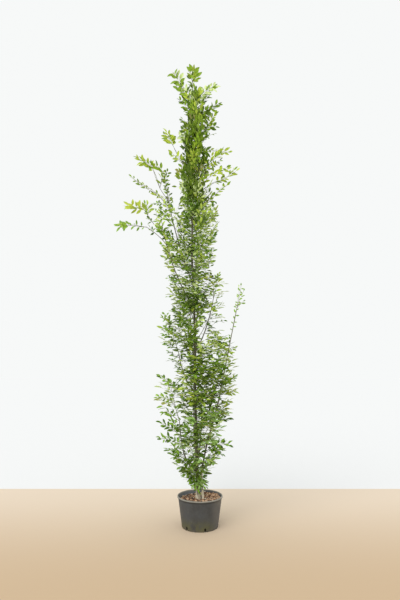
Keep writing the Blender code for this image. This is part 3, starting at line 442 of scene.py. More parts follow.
class Finishes(bpy.types.PropertyGroup):
    """Base colours."""

    bright: base_colour("Bright leaves", "Young leaves at the tips", (0.430, 0.510, 0.056))
    light: base_colour("Light leaves", "Leaves of the outer sprays", (0.375, 0.495, 0.066))
    mid: base_colour("Mid leaves", "Leaves of the common sprays", (0.206, 0.348, 0.034))
    deep: base_colour("Deep leaves", "Leaves of the inner sprays", (0.082, 0.164, 0.011))
    dry: base_colour("Dry leaves", "Withered leaves", (0.290, 0.275, 0.085))
    # Pale leaves: a painted sheen, their paler colour standing in for sky reflected on the leaf tops
    pale: base_colour("Pale leaves", "Leaves with a soft sheen", (0.560, 0.655, 0.270))
    lime: base_colour("Light leaves of the top", "Light leaves, yellower in the top", (0.380, 0.472, 0.042))
    olive: base_colour("Mid leaves of the top", "Mid leaves, yellower in the top", (0.198, 0.312, 0.014))
    moss: base_colour("Deep leaves of the top", "Deep leaves, yellower in the top", (0.082, 0.150, 0.005))
    # Cool leaves: partly a painted sky reflection on upturned leaves near the pot
    cool: base_colour("Light leaves of the foot", "Light leaves, cooler near the pot", (0.335, 0.505, 0.140))
    bark: base_colour("Bark", "Bark of the trunk and boughs", (0.175, 0.155, 0.108))
    pale_bark: base_colour("Pale bark", "Streaks in the bark and the second stem's foot",
                           (0.620, 0.550, 0.420))
    twig: base_colour("Twigs", "Bark of the young twigs", (0.185, 0.170, 0.080))
    plastic: base_colour("Plastic", "Plastic of the pot", (0.056, 0.060, 0.063))
    soil: base_colour("Soil", "Damp soil", (0.085, 0.055, 0.035))


class StageSettings(bpy.types.PropertyGroup):
    """Camera, light and floor."""

    lens: FloatProperty(name="Lens", description="Focal length in millimetres", default=27.52)
    backdrop: base_colour("Backdrop", "Colour of the surrounding light", (0.930, 0.945, 0.940))
    mat: base_colour("Floor", "Colour of the floor behind the pot", (0.740, 0.620, 0.490))
    mat_front: base_colour("Floor front", "Colour of the floor in front of the pot", (0.590, 0.440, 0.290))
    sun: FloatProperty(name="Key light", description="Strength of the soft key light", default=1.1)


def settings(name):
    return getattr(bpy.context.scene, "hornbeam_" + name)


# The rule of the limbs, as the solids follow it

def evened(points, window):
    """A run of points (n, columns) averaged with a bell-shaped window of an odd width. It is
    mirrored through its ends, which stay where they are."""
    half = window // 2
    kernel = np.hanning(window)
    kernel /= kernel.sum()
    padded = np.concatenate([2 * points[:1] - points[half:0:-1], points,
                             2 * points[-1:] - points[-2:-half - 2:-1]])
    return np.stack([np.convolve(column, kernel, "valid") for column in padded.T], axis=1)


def lean(heights, knots, across, deep):
    """Points at the given heights on a smooth curve through the knots: straight runs between
    the knots, evened out by a bell-shaped average."""
    z = np.atleast_1d(np.asarray(heights, float))
    fine = np.linspace(knots[0], knots[-1], LEAN_POINTS)
    columns = [np.interp(z, fine, evened(np.interp(fine, knots, values)[:, None], LEAN_WINDOW)[:, 0])
               for values in (across, deep)]
    return np.stack([*columns, z], axis=1)


def trunk_axis(heights):
    return lean(heights, LEAN_HEIGHTS, LEAN_X, LEAN_Y)


def trunk_radius(heights):
    """Taper from the foot to the tip, with the root flare added near the soil."""
    sizes = settings("limbs")
    z = np.asarray(heights, float)
    share = np.clip((z - TRUNK_FOOT) / (TRUNK_TOP - TRUNK_FOOT), 0, 1)
    taper = sizes.trunk_tip + (sizes.trunk_radius - sizes.trunk_tip) * (1 - share) ** TRUNK_TAPER
    return taper + sizes.flare * np.exp(-(z - TRUNK_FOOT) / sizes.flare_height)


def stem_radius(heights):
    """Even taper of the second stem, a little wider at the soil."""
    sizes = settings("limbs")
    share = (heights - TRUNK_FOOT) / (STEM_TOP - TRUNK_FOOT)
    taper = sizes.stem_radius + (sizes.stem_tip - sizes.stem_radius) * share
    return taper + STEM_FLARE * np.exp(-(heights - TRUNK_FOOT) / STEM_FLARE_HEIGHT)


def arc(foot, azimuth, reach, rise, arch, steps):
    """A curve from the foot that gains the reach outwards and the rise upwards."""
    angle = math.radians(azimuth)
    out = np.array([math.cos(angle), math.sin(angle), 0.0])
    bend = foot + out * reach * (0.5 + arch / 2) + UP * rise * (0.5 - arch / 2)
    tip = foot + out * reach + UP * rise
    t = np.linspace(0, 1, steps)[:, None]
    return (1 - t) ** 2 * foot + 2 * t * (1 - t) * bend + t ** 2 * tip


def reached(path):
    """Length along a path at each of its points."""
    return np.concatenate([[0], np.cumsum(np.linalg.norm(np.diff(path, axis=0), axis=1))])


def between(places, marks, path):
    """Points of a path at places on a scale that gives each of its own points a mark."""
    return np.stack([np.interp(places, marks, column) for column in path.T], axis=-1)


def along(path, share):
    """Point and direction at a share of a path's length."""
    shares = reached(path) / reached(path)[-1]
    point = between(share, shares, path)
    index = min(int(np.searchsorted(shares, share, side="right")), len(path) - 1)
    heading = path[index] - path[index - 1]
    return point, heading / np.linalg.norm(heading)


def evenly(path, count):
    """The path as points at even steps."""
    shares = reached(path) / reached(path)[-1]
    return between(np.linspace(0, 1, count), shares, path)


def limb_paths():
    """Axis of the trunk, the second stem and every bough, as the solids have it."""
    heights = TRUNK_FOOT + (TRUNK_TOP - TRUNK_FOOT) * np.linspace(0, 1, TRUNK_POINTS) ** TRUNK_CROWDING
    limbs = {"trunk": trunk_axis(heights)}
    heights = np.linspace(TRUNK_FOOT, STEM_TOP, STEM_AXIS_POINTS)
    limbs["second_stem"] = lean(heights, STEM_HEIGHTS, STEM_X, STEM_Y)
    for name, (parent, foot, azimuth, reach, rise, arch, _, _) in BOUGHS.items():
        start = trunk_axis(foot)[0] if parent == "trunk" else along(limbs[parent], foot)[0]
        steps = max(4, round(math.hypot(reach, rise) / BOUGH_STEP) + 1)
        limbs[name] = arc(start, azimuth, reach, rise, arch, steps)
    return limbs


def mass_rows():
    """Rows of every mass, as REACHING has them."""
    rows = dict(REACHING)
    for tier in range(TIERS):
        height = TIER_FIRST + (TIER_LAST - TIER_FIRST) * (tier / (TIERS - 1)) ** TIER_CROWDING
        azimuth = (TIER_AZIMUTH + GOLDEN * tier) % 360
        rise = TIER_RISE * (0.72 + 0.28 * min(1.0, tier / 5))
        angle = math.radians(azimuth)
        side = LEFT_EDGE if math.cos(angle) < 0 else RIGHT_EDGE
        centre = trunk_axis(height)[0][0]
        across = np.interp(height + rise, EDGE_HEIGHTS, side) + math.copysign(centre, math.cos(angle))
        deep = np.interp(height + rise, EDGE_HEIGHTS, DEPTH)
        reach = 1 / math.hypot(math.cos(angle) / max(across, TIER_REACH_LEAST), math.sin(angle) / deep)
        arch = -0.15 + 0.35 * tier / TIERS
        leaves = round(np.interp(tier / (TIERS - 1), (0, 1), TIER_LEAVES))
        rows[f"foliage_tier_{tier + 1:02d}"] = (
            "trunk", height, azimuth, TIER_FILL * reach, rise, arch, TIER_BARE, leaves)
    return rows


def nearest(points, others):
    """Least distance from any of the points to any of the others."""
    return np.linalg.norm(points[:, None] - others[None], axis=2).min()


def mass_stems(limbs):
    """Stem axis of every mass. A stem that would run into a bough or an earlier stem is turned
    about its foot, a little more each time, until it is clear."""
    stems, fine = {}, {}
    boughs = {name: evenly(path, BOUGH_POINTS) for name, path in limbs.items()}
    for name, (parent, foot, azimuth, reach, rise, arch, _, _) in mass_rows().items():
        if parent == "trunk" and foot != 1.0:
            start = trunk_axis(foot)[0]
        else:
            start, heading = along(limbs[parent], 1.0)
            start = start + heading * GAP
        found = None
        for turn in range(STEM_TURNS):
            shift = STEM_TURN * ((turn + 1) // 2) * (1 if turn % 2 else -1)
            points = evenly(arc(start, azimuth + shift, reach, rise, arch, 5), STEM_POINTS)[STEM_FOOT:]
            others = [line for other, line in boughs.items() if other != parent]
            others += list(fine.values())
            room = min(nearest(points, line) for line in others)
            if found is None or room > found[0]:
                found = (room, azimuth + shift, points)
            if room > STEM_CLEARANCE:
                break
        stems[name] = arc(start, found[1], reach, rise, arch, STEM_RINGS)
        fine[name] = found[2]
    return stems


def seen_from_front(points):
    """Points moved along their line of sight into the plane of the trunk."""
    scale = VIEW_DISTANCE / (VIEW_DISTANCE + points[:, 1])
    return points[:, 0] * scale, VIEW_HEIGHT + (points[:, 2] - VIEW_HEIGHT) * scale


def in_places(points, places):
    """Whether each point shows in one of the oval places."""
    x, z = seen_from_front(points)
    inside = np.zeros(len(points), bool)
    for across, height, wide, tall in places:
        inside |= ((x - across) / wide) ** 2 + ((z - height) / tall) ** 2 < 1
    return inside


def in_outline(points, slack):
    """Whether each point shows inside the close crown's outline, widened by the slack."""
    x, z = seen_from_front(points)
    left = -np.interp(z, EDGE_HEIGHTS, LEFT_EDGE) - slack
    right = np.interp(z, EDGE_HEIGHTS, RIGHT_EDGE) + slack
    return (x > left) & (x < right)


# Shapes as arrays

def unit(vectors):
    return vectors / np.maximum(np.linalg.norm(vectors, axis=-1, keepdims=True), 1e-9)


def grid_faces(rows, columns, wrap):
    """Quads between neighbouring points of a grid stored row by row; wrap joins the last
    column to the first."""
    across = columns if wrap else columns - 1
    row, column = np.meshgrid(np.arange(rows - 1), np.arange(across), indexing="ij")
    a = row * columns + column
    b = row * columns + (column + 1) % columns
    return np.stack([a, b, b + columns, a + columns], axis=-1).reshape(-1, 4)


def repeated(faces, copies, step):
    """The same faces for each copy of a shape, whose points follow each other by the step."""
    return (faces[None] + step * np.arange(copies)[:, None, None]).reshape(-1, faces.shape[1])


def joined(shapes):
    """Several (points, list of face arrays) as one."""
    points, faces, start = [], [], 0
    for these, groups in shapes:
        points.append(these)
        faces.extend(group + start for group in groups)
        start += len(these)
    return np.concatenate(points), faces


def carried_frames(headings):
    """Side and up of each ring: the first side is level, and each next one is the last one
    laid square to the new heading, so the tube doesn't twist. Works on (tubes, rings, 3)."""
    level = np.cross(UP, headings[:, 0])
    fallback = np.broadcast_to(np.array([1.0, 0.0, 0.0]), level.shape)
    side = unit(np.where(np.linalg.norm(level, axis=1, keepdims=True) > 0.2, level, fallback))
    sides = []
    for ring in range(headings.shape[1]):
        ahead = headings[:, ring]
        side = unit(side - ahead * (side * ahead).sum(axis=1, keepdims=True))
        sides.append(side)
    sides = np.stack(sides, axis=1)
    return sides, np.cross(headings, sides)


def tubes(paths, radii, sides):
    """Tapering tubes: point (n, k, a) = centre(n, k) + radius(n, k, a) (cos a side + sin a up),
    closed by a flat cap at the foot and a point at the tip. paths is (tubes, rings, 3), and
    radii (tubes, rings) or (tubes, rings, sides)."""
    count, rings = paths.shape[:2]
    headings = unit(np.gradient(paths, axis=1))
    side, up = carried_frames(headings)
    angles = 2 * np.pi * np.arange(sides) / sides
    around = np.cos(angles)[None, None, :, None] * side[:, :, None]
    around = around + np.sin(angles)[None, None, :, None] * up[:, :, None]
    radii = radii[..., None] if radii.ndim == 2 else radii
    points = paths[:, :, None] + around * np.broadcast_to(radii, (count, rings, sides))[..., None]
    points = points.reshape(count, rings * sides, 3)
    tips = paths[:, -1:] + headings[:, -1:] * radii[:, -1:, :1] * 0.8
    points = np.concatenate([points, tips], axis=1)
    step = rings * sides + 1
    last = (rings - 1) * sides + np.arange(sides)
    tip = np.stack([last, np.roll(last, -1), np.full(sides, step - 1)], axis=1)
    faces = [repeated(grid_faces(rings, sides, True), count, step),
             repeated(tip, count, step),
             repeated(np.arange(sides)[None, ::-1], count, step)]
    return points.reshape(-1, 3), faces


def turned(profile, segments):
    """Rings turned round the pot's axis: point (k, a) = (radius(k) cos a, radius(k) sin a, height(k))."""
    angles = 2 * np.pi * np.arange(segments) / segments
    radius, height = np.asarray(profile, float).T
    return np.stack([radius[:, None] * np.cos(angles), radius[:, None] * np.sin(angles),
                     np.repeat(height[:, None], segments, axis=1)], axis=-1)


def new_piece(name, shape, material, replaced=(), sharp=None):
    """A mesh object at the origin from points and arrays of faces, riding on the one body."""
    points, groups = shape
    mesh = bpy.data.meshes.new(name)
    mesh.vertices.add(len(points))
    mesh.vertices.foreach_set("co", np.ascontiguousarray(points, np.float32).ravel())
    sizes = np.concatenate([np.full(len(group), group.shape[1]) for group in groups])
    mesh.loops.add(int(sizes.sum()))
    mesh.loops.foreach_set("vertex_index", np.concatenate([g.ravel() for g in groups]).astype(np.int32))
    mesh.polygons.add(len(sizes))
    mesh.polygons.foreach_set("loop_start", np.concatenate([[0], np.cumsum(sizes)[:-1]]).astype(np.int32))
    mesh.update(calc_edges=True)
    if mesh.validate():
        raise RuntimeError(f"{name} has faulty faces")
    if sharp == 0:
        mesh.shade_flat()
    else:
        mesh.shade_smooth()
        if sharp:
            mesh.set_sharp_from_angle(angle=math.radians(sharp))
    mesh.materials.append(material)
    piece = bpy.data.objects.new(name, mesh)
    bpy.context.scene.collection.objects.link(piece)
    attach(piece, BODY)
    if replaced:
        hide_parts(*replaced)
    return piece


# Shader nodes

class NodeBench:
    """Adds nodes to one tree and joins them."""

    def __init__(self, tree):
        self.tree = tree

    def put(self, socket, value):
        """Links a socket, or sets its own value."""
        if isinstance(value, bpy.types.NodeSocket):
            self.tree.links.new(value, socket)
        else:
            socket.default_value = value

    def node(self, kind, values=(), **options):
        made = self.tree.nodes.new(kind)
        for key, value in options.items():
            setattr(made, key, value)
        for key, value in dict(values).items():
            self.put(made.inputs[key], value)
        return made

    def math(self, operation, first, second=0.0):
        return self.node("ShaderNodeMath", {0: first, 1: second}, operation=operation).outputs[0]

    def plus(self, first, second):
        return self.math("ADD", first, second)

    def times(self, first, second):
        return self.math("MULTIPLY", first, second)

    def rise(self, value, low, high, bottom=0.0, top=1.0):
        """Smooth step of a value from bottom at low to top at high."""
        made = self.node("ShaderNodeMapRange", {"Value": value, "From Min": low, "From Max": high,
                                                "To Min": bottom, "To Max": top},
                         interpolation_type="SMOOTHSTEP")
        return made.outputs["Result"]

    def blend(self, share, first, second):
        made = self.node("ShaderNodeMix", {0: share, 6: first, 7: second}, data_type="RGBA")
        return made.outputs[2]

    def noise(self, vector, scale, detail=3.0, rough=0.55, twist=0.0):
        made = self.node("ShaderNodeTexNoise", {"Vector": vector, "Scale": scale, "Detail": detail,
                                                "Roughness": rough, "Distortion": twist})
        return made.outputs[0]

    def stretched(self, vector, scale):
        made = self.node("ShaderNodeMapping", {"Vector": vector, "Scale": scale})
        return made.outputs[0]

    def place(self):
        return self.node("ShaderNodeTexCoord").outputs["Object"]

    def split(self, vector):
        return self.node("ShaderNodeSeparateXYZ", {0: vector}).outputs


def shader_group(name, inputs, outputs, build):
    """A named node group. build gets its bench and its inputs, and returns its outputs in order."""
    tree = bpy.data.node_groups.new(name, "ShaderNodeTree")
    for label, default in inputs:
        socket = tree.interface.new_socket(name=label, in_out="INPUT", socket_type="NodeSocketFloat")
        socket.default_value = default
    for label in outputs:
        tree.interface.new_socket(name=label, in_out="OUTPUT", socket_type="NodeSocketFloat")
    bench = NodeBench(tree)
    start = tree.nodes.new("NodeGroupInput")
    end = tree.nodes.new("NodeGroupOutput")
    for socket, value in zip(end.inputs, build(bench, start.outputs)):
        bench.put(socket, value)
    return tree


def mottle_nodes(bench, given):
    """Soft cloudy variation between 0 and 1 at two scales."""
    place = bench.place()
    coarse = bench.noise(place, given["Scale"])
    fine_scale = bench.times(given["Scale"], 5.3)
    fine = bench.noise(place, fine_scale, 2.0)
    together = bench.plus(bench.times(coarse, 0.65), bench.times(fine, 0.35))
    return (bench.rise(together, given["Low"], given["High"]),)


def grain_nodes(bench, given):
    """Fine pitted grain as a height."""
    place = bench.place()
    pits = bench.node("ShaderNodeTexVoronoi", {"Vector": place, "Scale": given["Scale"]}).outputs["Distance"]
    dust = bench.noise(place, bench.times(given["Scale"], 1.7), 2.0)
    return (bench.times(bench.plus(pits, dust), 0.5),)


def bark_nodes(bench, given):
    """Pale streaks that run along the limb, short level lenticels, and the height of both."""
    place = bench.place()
    streaks = bench.noise(bench.stretched(place, (1.0, 1.0, 0.10)), given["Scale"], 4.0, 0.6, 0.4)
    flakes = bench.noise(bench.stretched(place, (0.6, 0.6, 2.2)), bench.times(given["Scale"], 1.6), 2.0)
    pores = bench.node("ShaderNodeTexVoronoi", {"Vector": bench.stretched(place, (0.5, 0.5, 1.6)),
                                                "Scale": bench.times(given["Scale"], 2.4)})
    lenticels = bench.rise(pores.outputs["Distance"], 0.16, 0.05)
    pale = bench.rise(streaks, 0.46, 0.66)
    dark = bench.rise(flakes, 0.52, 0.70)
    height = bench.plus(bench.times(streaks, 0.7), bench.times(lenticels, 0.3))
    return pale, dark, lenticels, height


def pot_wear_and_light_nodes(bench, given):
    """Marks of use on the pot, by place: worn rim, shade of algae low at the front left,
    dried soil near the foot, pale splashes, and long scuffs. Also painted light: a painted sky
    reflection on the upper inner wall, a painted shadow under the rim, and painted light on
    the right side."""
    place = bench.place()
    x, y, z = bench.split(place)
    cloud = bench.noise(place, 13.0, 4.0, 0.6)
    spots = bench.noise(place, 95.0, 2.0, 0.6)
    runs = bench.noise(bench.stretched(place, (1.0, 1.0, 0.12)), 34.0, 3.0, 0.6)
    edge = bench.plus(z, bench.times(bench.math("SUBTRACT", cloud, 0.5), 0.004))
    worn = bench.rise(edge, given["Rim from"], given["Rim to"])
    low = bench.rise(bench.plus(z, bench.times(cloud, 0.07)), 0.165, 0.045)
    front = bench.rise(bench.plus(bench.times(y, -1.0), bench.times(x, -0.45)),
                       -0.02, 0.15)
    algae = bench.times(bench.times(low, front), bench.rise(cloud, 0.30, 0.62))
    foot = bench.rise(bench.plus(z, bench.times(runs, 0.05)), 0.060, 0.020)
    splash = bench.times(bench.rise(spots, 0.62, 0.74), bench.rise(z, 0.16, 0.02))
    scuffs = bench.rise(runs, 0.50, 0.72)
    # Painted reflection: the upper inner wall is painted a pale bluish grey for the sky it reflects
    radius = bench.math("SQRT", bench.plus(bench.times(x, x), bench.times(y, y)))
    middle = bench.plus(bench.times(z, given["Taper"]), given["Foot radius"])
    inside = bench.rise(bench.math("SUBTRACT", radius, middle), 0.0004, -0.0004)
    inside = bench.times(inside, bench.rise(z, 0.19, 0.22))
    # Painted shadow: a dark band just under the rim, where the rim's shade falls
    shadow = bench.times(bench.rise(edge, 0.2475, 0.2455), bench.rise(edge, 0.232, 0.243))
    # Painted light: the pot's right side, lit from the right, painted paler in soft clouds
    painted_right_light = bench.times(bench.rise(x, 0.075, 0.150), bench.rise(cloud, 0.20, 0.75, 0.6, 1.0))
    return worn, algae, foot, splash, scuffs, inside, shadow, painted_right_light


def make_groups():
    """The shared effects, built once."""
    return {
        "mottle": shader_group("mottle", (("Scale", 20.0), ("Low", 0.35), ("High", 0.65)), ("Mask",),
                               mottle_nodes),
        "grain": shader_group("grain", (("Scale", 900.0),), ("Height",), grain_nodes),
        "bark": shader_group("bark markings", (("Scale", 90.0),), ("Pale", "Dark", "Lenticels", "Height"),
                             bark_nodes),
        "weather": shader_group("pot weathering", (("Rim from", 0.2480), ("Rim to", 0.2560),
                                                   ("Foot radius", 0.157), ("Taper", 0.138)),
                                ("Worn", "Algae", "Foot", "Splash", "Scuffs", "Inside", "Grime", "Dust"),
                                pot_wear_and_light_nodes),
    }


GROUPS = {}


def colour(values, gain=1.0):
    return (*[min(1.0, value * gain) for value in values], 1.0)


class Finish:
    """One material: its Principled BSDF and a bench for the nodes that feed it."""

    def __init__(self, name, roughness=0.6, specular=0.5):
        self.material = bpy.data.materials.new(name)
        self.material.use_nodes = True
        self.bench = NodeBench(self.material.node_tree)
        self.shader = self.material.node_tree.nodes["Principled BSDF"]
        self.shader.inputs["Roughness"].default_value = roughness
        self.shader.inputs["Specular IOR Level"].default_value = specular

    def group(self, name, **values):
        made = self.bench.node("ShaderNodeGroup", node_tree=GROUPS[name])
        for key, value in values.items():
            made.inputs[key.replace("_", " ")].default_value = value
        return made.outputs

    def feed(self, socket, value):
        self.bench.put(self.shader.inputs[socket], value)

    def bump(self, height, strength, distance):
        made = self.bench.node("ShaderNodeBump", {"Height": height, "Strength": strength,
                                                  "Distance": distance})
        self.feed("Normal", made.outputs[0])


def leaf_finish(tint):
    """Green that varies from leaf to leaf, paler underneath, with a fine grain."""
    base = getattr(settings("finishes"), tint)
    finish = Finish("leaf_" + tint, 0.5, 0.22)
    bench = finish.bench
    mask = finish.group("mottle", Scale=17.0, Low=0.34, High=0.66)["Mask"]
    top = bench.blend(mask, colour(base, 0.80), colour(base, 1.46))
    pale = tuple(0.84 * value + 0.16 * grey for value, grey in zip(base, (0.36, 0.42, 0.10)))
    under = bench.blend(mask, colour(pale, 0.85), colour(pale, 1.45))
    behind = bench.node("ShaderNodeNewGeometry").outputs["Backfacing"]
    finish.feed("Base Color", bench.blend(behind, top, under))
    finish.feed("Roughness", bench.rise(mask, 0.0, 1.0, 0.42, 0.58))
    finish.bump(finish.group("grain", Scale=620.0)["Height"], 0.25, 0.0004)
    return finish.material


def bark_finish(name, base, pale, scale, pale_foot=None):
    """Smooth grey-brown bark with pale streaks and lenticels. pale_foot is the height to which
    the pale colour covers a limb's foot."""
    finish = Finish(name, 0.8, 0.3)
    bench = finish.bench
    marks = finish.group("bark", Scale=scale)
    shade = bench.blend(marks["Dark"], colour(base), colour(base, 0.55))
    shade = bench.blend(bench.times(marks["Pale"], 0.65), shade, colour(base, 1.7))
    if pale_foot:
        height = bench.split(bench.place())[2]
        wavy = bench.plus(height, bench.times(marks["Pale"], 0.12))
        foot = bench.rise(wavy, pale_foot[1], pale_foot[0])
        light = bench.blend(marks["Dark"], colour(pale, 1.25), colour(pale, 0.8))
        shade = bench.blend(foot, shade, light)
    shade = bench.blend(bench.times(marks["Lenticels"], 0.5), shade, colour(base, 2.2))
    finish.feed("Base Color", shade)
    finish.feed("Roughness", bench.rise(marks["Pale"], 0.0, 1.0, 0.86, 0.66))
    finish.bump(marks["Height"], 0.5, 0.0012)
    return finish.material


def twig_finish():
    """Brown young bark, greener and lighter in places."""
    base = settings("finishes").twig
    finish = Finish("twig_bark", 0.6, 0.4)
    mask = finish.group("mottle", Scale=9.0, Low=0.38, High=0.62)["Mask"]
    finish.feed("Base Color", finish.bench.blend(mask, colour(base), colour((0.190, 0.215, 0.080))))
    finish.feed("Roughness", finish.bench.rise(mask, 0.0, 1.0, 0.68, 0.52))
    finish.bump(finish.group("grain", Scale=1400.0)["Height"], 0.3, 0.0003)
    return finish.material


# Marks on the pot, and the painted light on it (reflection inside, shadow under the rim, light
# on the right side), in the order in which they cover each other: how strongly, and their colour
POT_MARKS_AND_LIGHT = (
    ("Scuffs", 0.22, (0.100, 0.100, 0.094)),
    ("Algae", 0.90, (0.115, 0.112, 0.040)),
    ("Foot", 0.55, (0.120, 0.100, 0.066)),
    ("Splash", 0.50, (0.200, 0.190, 0.130)),
    # Painted light on the right side of the pot
    ("Dust", 0.60, (0.140, 0.134, 0.122)),
    # Painted shadow under the rim
    ("Grime", 0.70, (0.022, 0.021, 0.019)),
    # Painted sky reflection on the upper inner wall
    ("Inside", 0.85, (0.215, 0.230, 0.255)),
    ("Worn", 0.92, (0.300, 0.285, 0.240)),
)


def plastic_finish():
    """Charcoal plastic: dull, worn pale along the rim, green with algae low at the front left,
    and brown with dried soil at the foot, with painted light on the right side, a painted
    shadow under the rim and a painted sky reflection on the upper inner wall."""
    base = settings("finishes").plastic
    finish = Finish("pot_plastic", 0.5, 0.45)
    bench = finish.bench
    cloud = finish.group("mottle", Scale=11.0, Low=0.34, High=0.68)["Mask"]
    marks = finish.group("weather")
    shade = bench.blend(cloud, colour(base, 0.88), colour(base, 1.25))
    for mark, share, paint in POT_MARKS_AND_LIGHT:
        shade = bench.blend(bench.times(marks[mark], share), shade, colour(paint))
    finish.feed("Base Color", shade)
    dull = bench.math("MAXIMUM", marks["Algae"], marks["Foot"])
    finish.feed("Roughness", bench.rise(bench.plus(dull, cloud), 0.0, 1.6, 0.44, 0.82))
    finish.bump(finish.group("grain", Scale=700.0)["Height"], 0.25, 0.0005)
    return finish.material


def soil_finish():
    """Damp dark soil with grey-green moss patches."""
    base = settings("finishes").soil
    finish = Finish("soil", 0.95, 0.2)
    bench = finish.bench
    mask = finish.group("mottle", Scale=45.0, Low=0.36, High=0.64)["Mask"]
    moss = finish.group("mottle", Scale=18.0, Low=0.52, High=0.62)["Mask"]
    shade = bench.blend(mask, colour(base, 0.7), colour(base, 1.9))
    finish.feed("Base Color", bench.blend(bench.times(moss, 0.6), shade, colour((0.17, 0.165, 0.10))))
    finish.feed("Roughness", bench.rise(mask, 0.0, 1.0, 0.98, 0.86))
    finish.bump(finish.group("grain", Scale=420.0)["Height"], 0.8, 0.0015)
    return finish.material


def chip_finish(name, base):
    """Split bark: fibres along the height, light and dark."""
    finish = Finish(name, 0.9, 0.25)
    bench = finish.bench
    mask = finish.group("mottle", Scale=60.0, Low=0.34, High=0.66)["Mask"]
    marks = finish.group("bark", Scale=160.0)
    shade = bench.blend(mask, colour(base, 0.72), colour(base, 1.25))
    finish.feed("Base Color", bench.blend(bench.times(marks["Dark"], 0.6), shade, colour(base, 0.45)))
    finish.feed("Roughness", bench.rise(mask, 0.0, 1.0, 0.95, 0.8))
    finish.bump(marks["Height"], 0.6, 0.0012)
    return finish.material


# Pot

def wall_at(height):
    """Outside of the pot's tapering wall at a height."""
    pot = settings("pot")
    top = pot.rim_radius - pot.rim_reach
    return pot.base_radius + (top - pot.base_radius) * height / pot.height


def rounded(centre, radius, first, last, steps):
    """Radius and height along an arc of a small radius, between two angles in degrees."""
    angles = np.radians(np.linspace(first, last, steps))
    return [(centre[0] + radius * math.cos(a), centre[1] + radius * math.sin(a)) for a in angles]


# Rounded edges of the pot from its foot to its crest, radii of its floor's rings, rows up to the
# top of a notch and their lift into an arch, and segments round the pot
FOOT_ROUND = 0.0025
UNDER_ROUND = 0.0012
EDGE_ROUND = 0.0016
CREST_ROUND = 0.0030
FLOOR_ROUND = 0.0015
LIP_ROUND = 0.0022
FLOOR_RINGS = (0.02, 0.08, 0.13, 0.148)
NOTCH_ROWS = 6
NOTCH_ARCH = 0.0022
POT_SEGMENTS = 192


def pot_sheets():
    """Outer and inner sheet of the pot with the same rows: along the floor, up the wall, and
    round the rim to its crest. Returns both, and the rows between which a notch opens: from the
    fourth, on the floor, to the last row of notch heights, which follow eight rows."""
    pot = settings("pot")
    under = pot.height - pot.rim_height
    rim = pot.rim_radius
    heights = np.concatenate([np.linspace(0.004, pot.notch_height, NOTCH_ROWS),
                              np.linspace(0.035, under - 0.002, 26)])
    inner_heights = np.maximum(heights, pot.floor + FLOOR_ROUND)
    inner_heights[:NOTCH_ROWS] = np.linspace(pot.floor + FLOOR_ROUND, pot.notch_height, NOTCH_ROWS)
    outer = [(radius, 0.0) for radius in (*FLOOR_RINGS, 0.1545)]
    outer += rounded((wall_at(0.0) - FOOT_ROUND, FOOT_ROUND), FOOT_ROUND, -80, -10, 3)
    outer += [(wall_at(z), z) for z in heights]
    outer += rounded((wall_at(under) + UNDER_ROUND, under - UNDER_ROUND), UNDER_ROUND, 180, 90, 4)
    outer += rounded((rim - EDGE_ROUND, under + EDGE_ROUND), EDGE_ROUND, -80, 0, 4)
    outer += rounded((rim - CREST_ROUND, pot.height - CREST_ROUND), CREST_ROUND, 10, 90, 6)
    inner = [(radius, pot.floor) for radius in (*FLOOR_RINGS, 0.1520)]
    corner = wall_at(pot.floor) - pot.wall
    inner += rounded((corner - FLOOR_ROUND, pot.floor + FLOOR_ROUND), FLOOR_ROUND, -80, -10, 3)
    inner += [(wall_at(z) - pot.wall, z) for z in inner_heights]
    top = pot.height - LIP_ROUND
    inner += [(wall_at(z) - pot.wall, z) for z in np.linspace(under, top, 8)]
    inner += rounded((wall_at(top) - pot.wall + LIP_ROUND, top), LIP_ROUND, 165, 100, 6)
    return np.array(outer), np.array(inner), (3, 8 + NOTCH_ROWS - 1)


def double_sheet(outer, inner, open_cells):
    """A shell from two grids (rows, around, 3) that meet along their last row. Where open_cells
    is true both sheets are left out, and quads join them along the edges of the opening."""
    rows, around = outer.shape[:2]
    points = np.concatenate([outer.reshape(-1, 3), inner.reshape(-1, 3)])
    size = rows * around
    quads = grid_faces(rows, around, True)
    kept = ~open_cells.reshape(-1)
    index = np.arange(size).reshape(rows, around)
    beside = np.roll(index, -1, axis=1)
    crest = np.stack([index[-1], beside[-1], beside[-1] + size, index[-1] + size], axis=1)
    before = np.roll(open_cells, 1, axis=1)
    faces = [quads[kept], quads[kept][:, ::-1] + size, crest]
    for row, column in (np.nonzero(open_cells & ~before), np.nonzero(~open_cells & before)):
        low, high = index[row, column], index[row + 1, column]
        faces.append(np.stack([low, high, high + size, low + size], axis=1))
    faces[-2] = faces[-2][:, ::-1]
    padded = np.vstack([open_cells, np.zeros((1, around), bool)])
    above = np.vstack([np.zeros((1, around), bool), open_cells])
    for place, turn in ((padded & ~above, 1), (~padded & above, -1)):
        row, column = np.nonzero(place)
        low, high = index[row, column], beside[row, column]
        faces.append(np.stack([low, high, high + size, low + size], axis=1)[:, ::turn])
    foot = np.arange(around)[None]
    faces += [foot[:, ::-1], foot + size]
    return points, faces


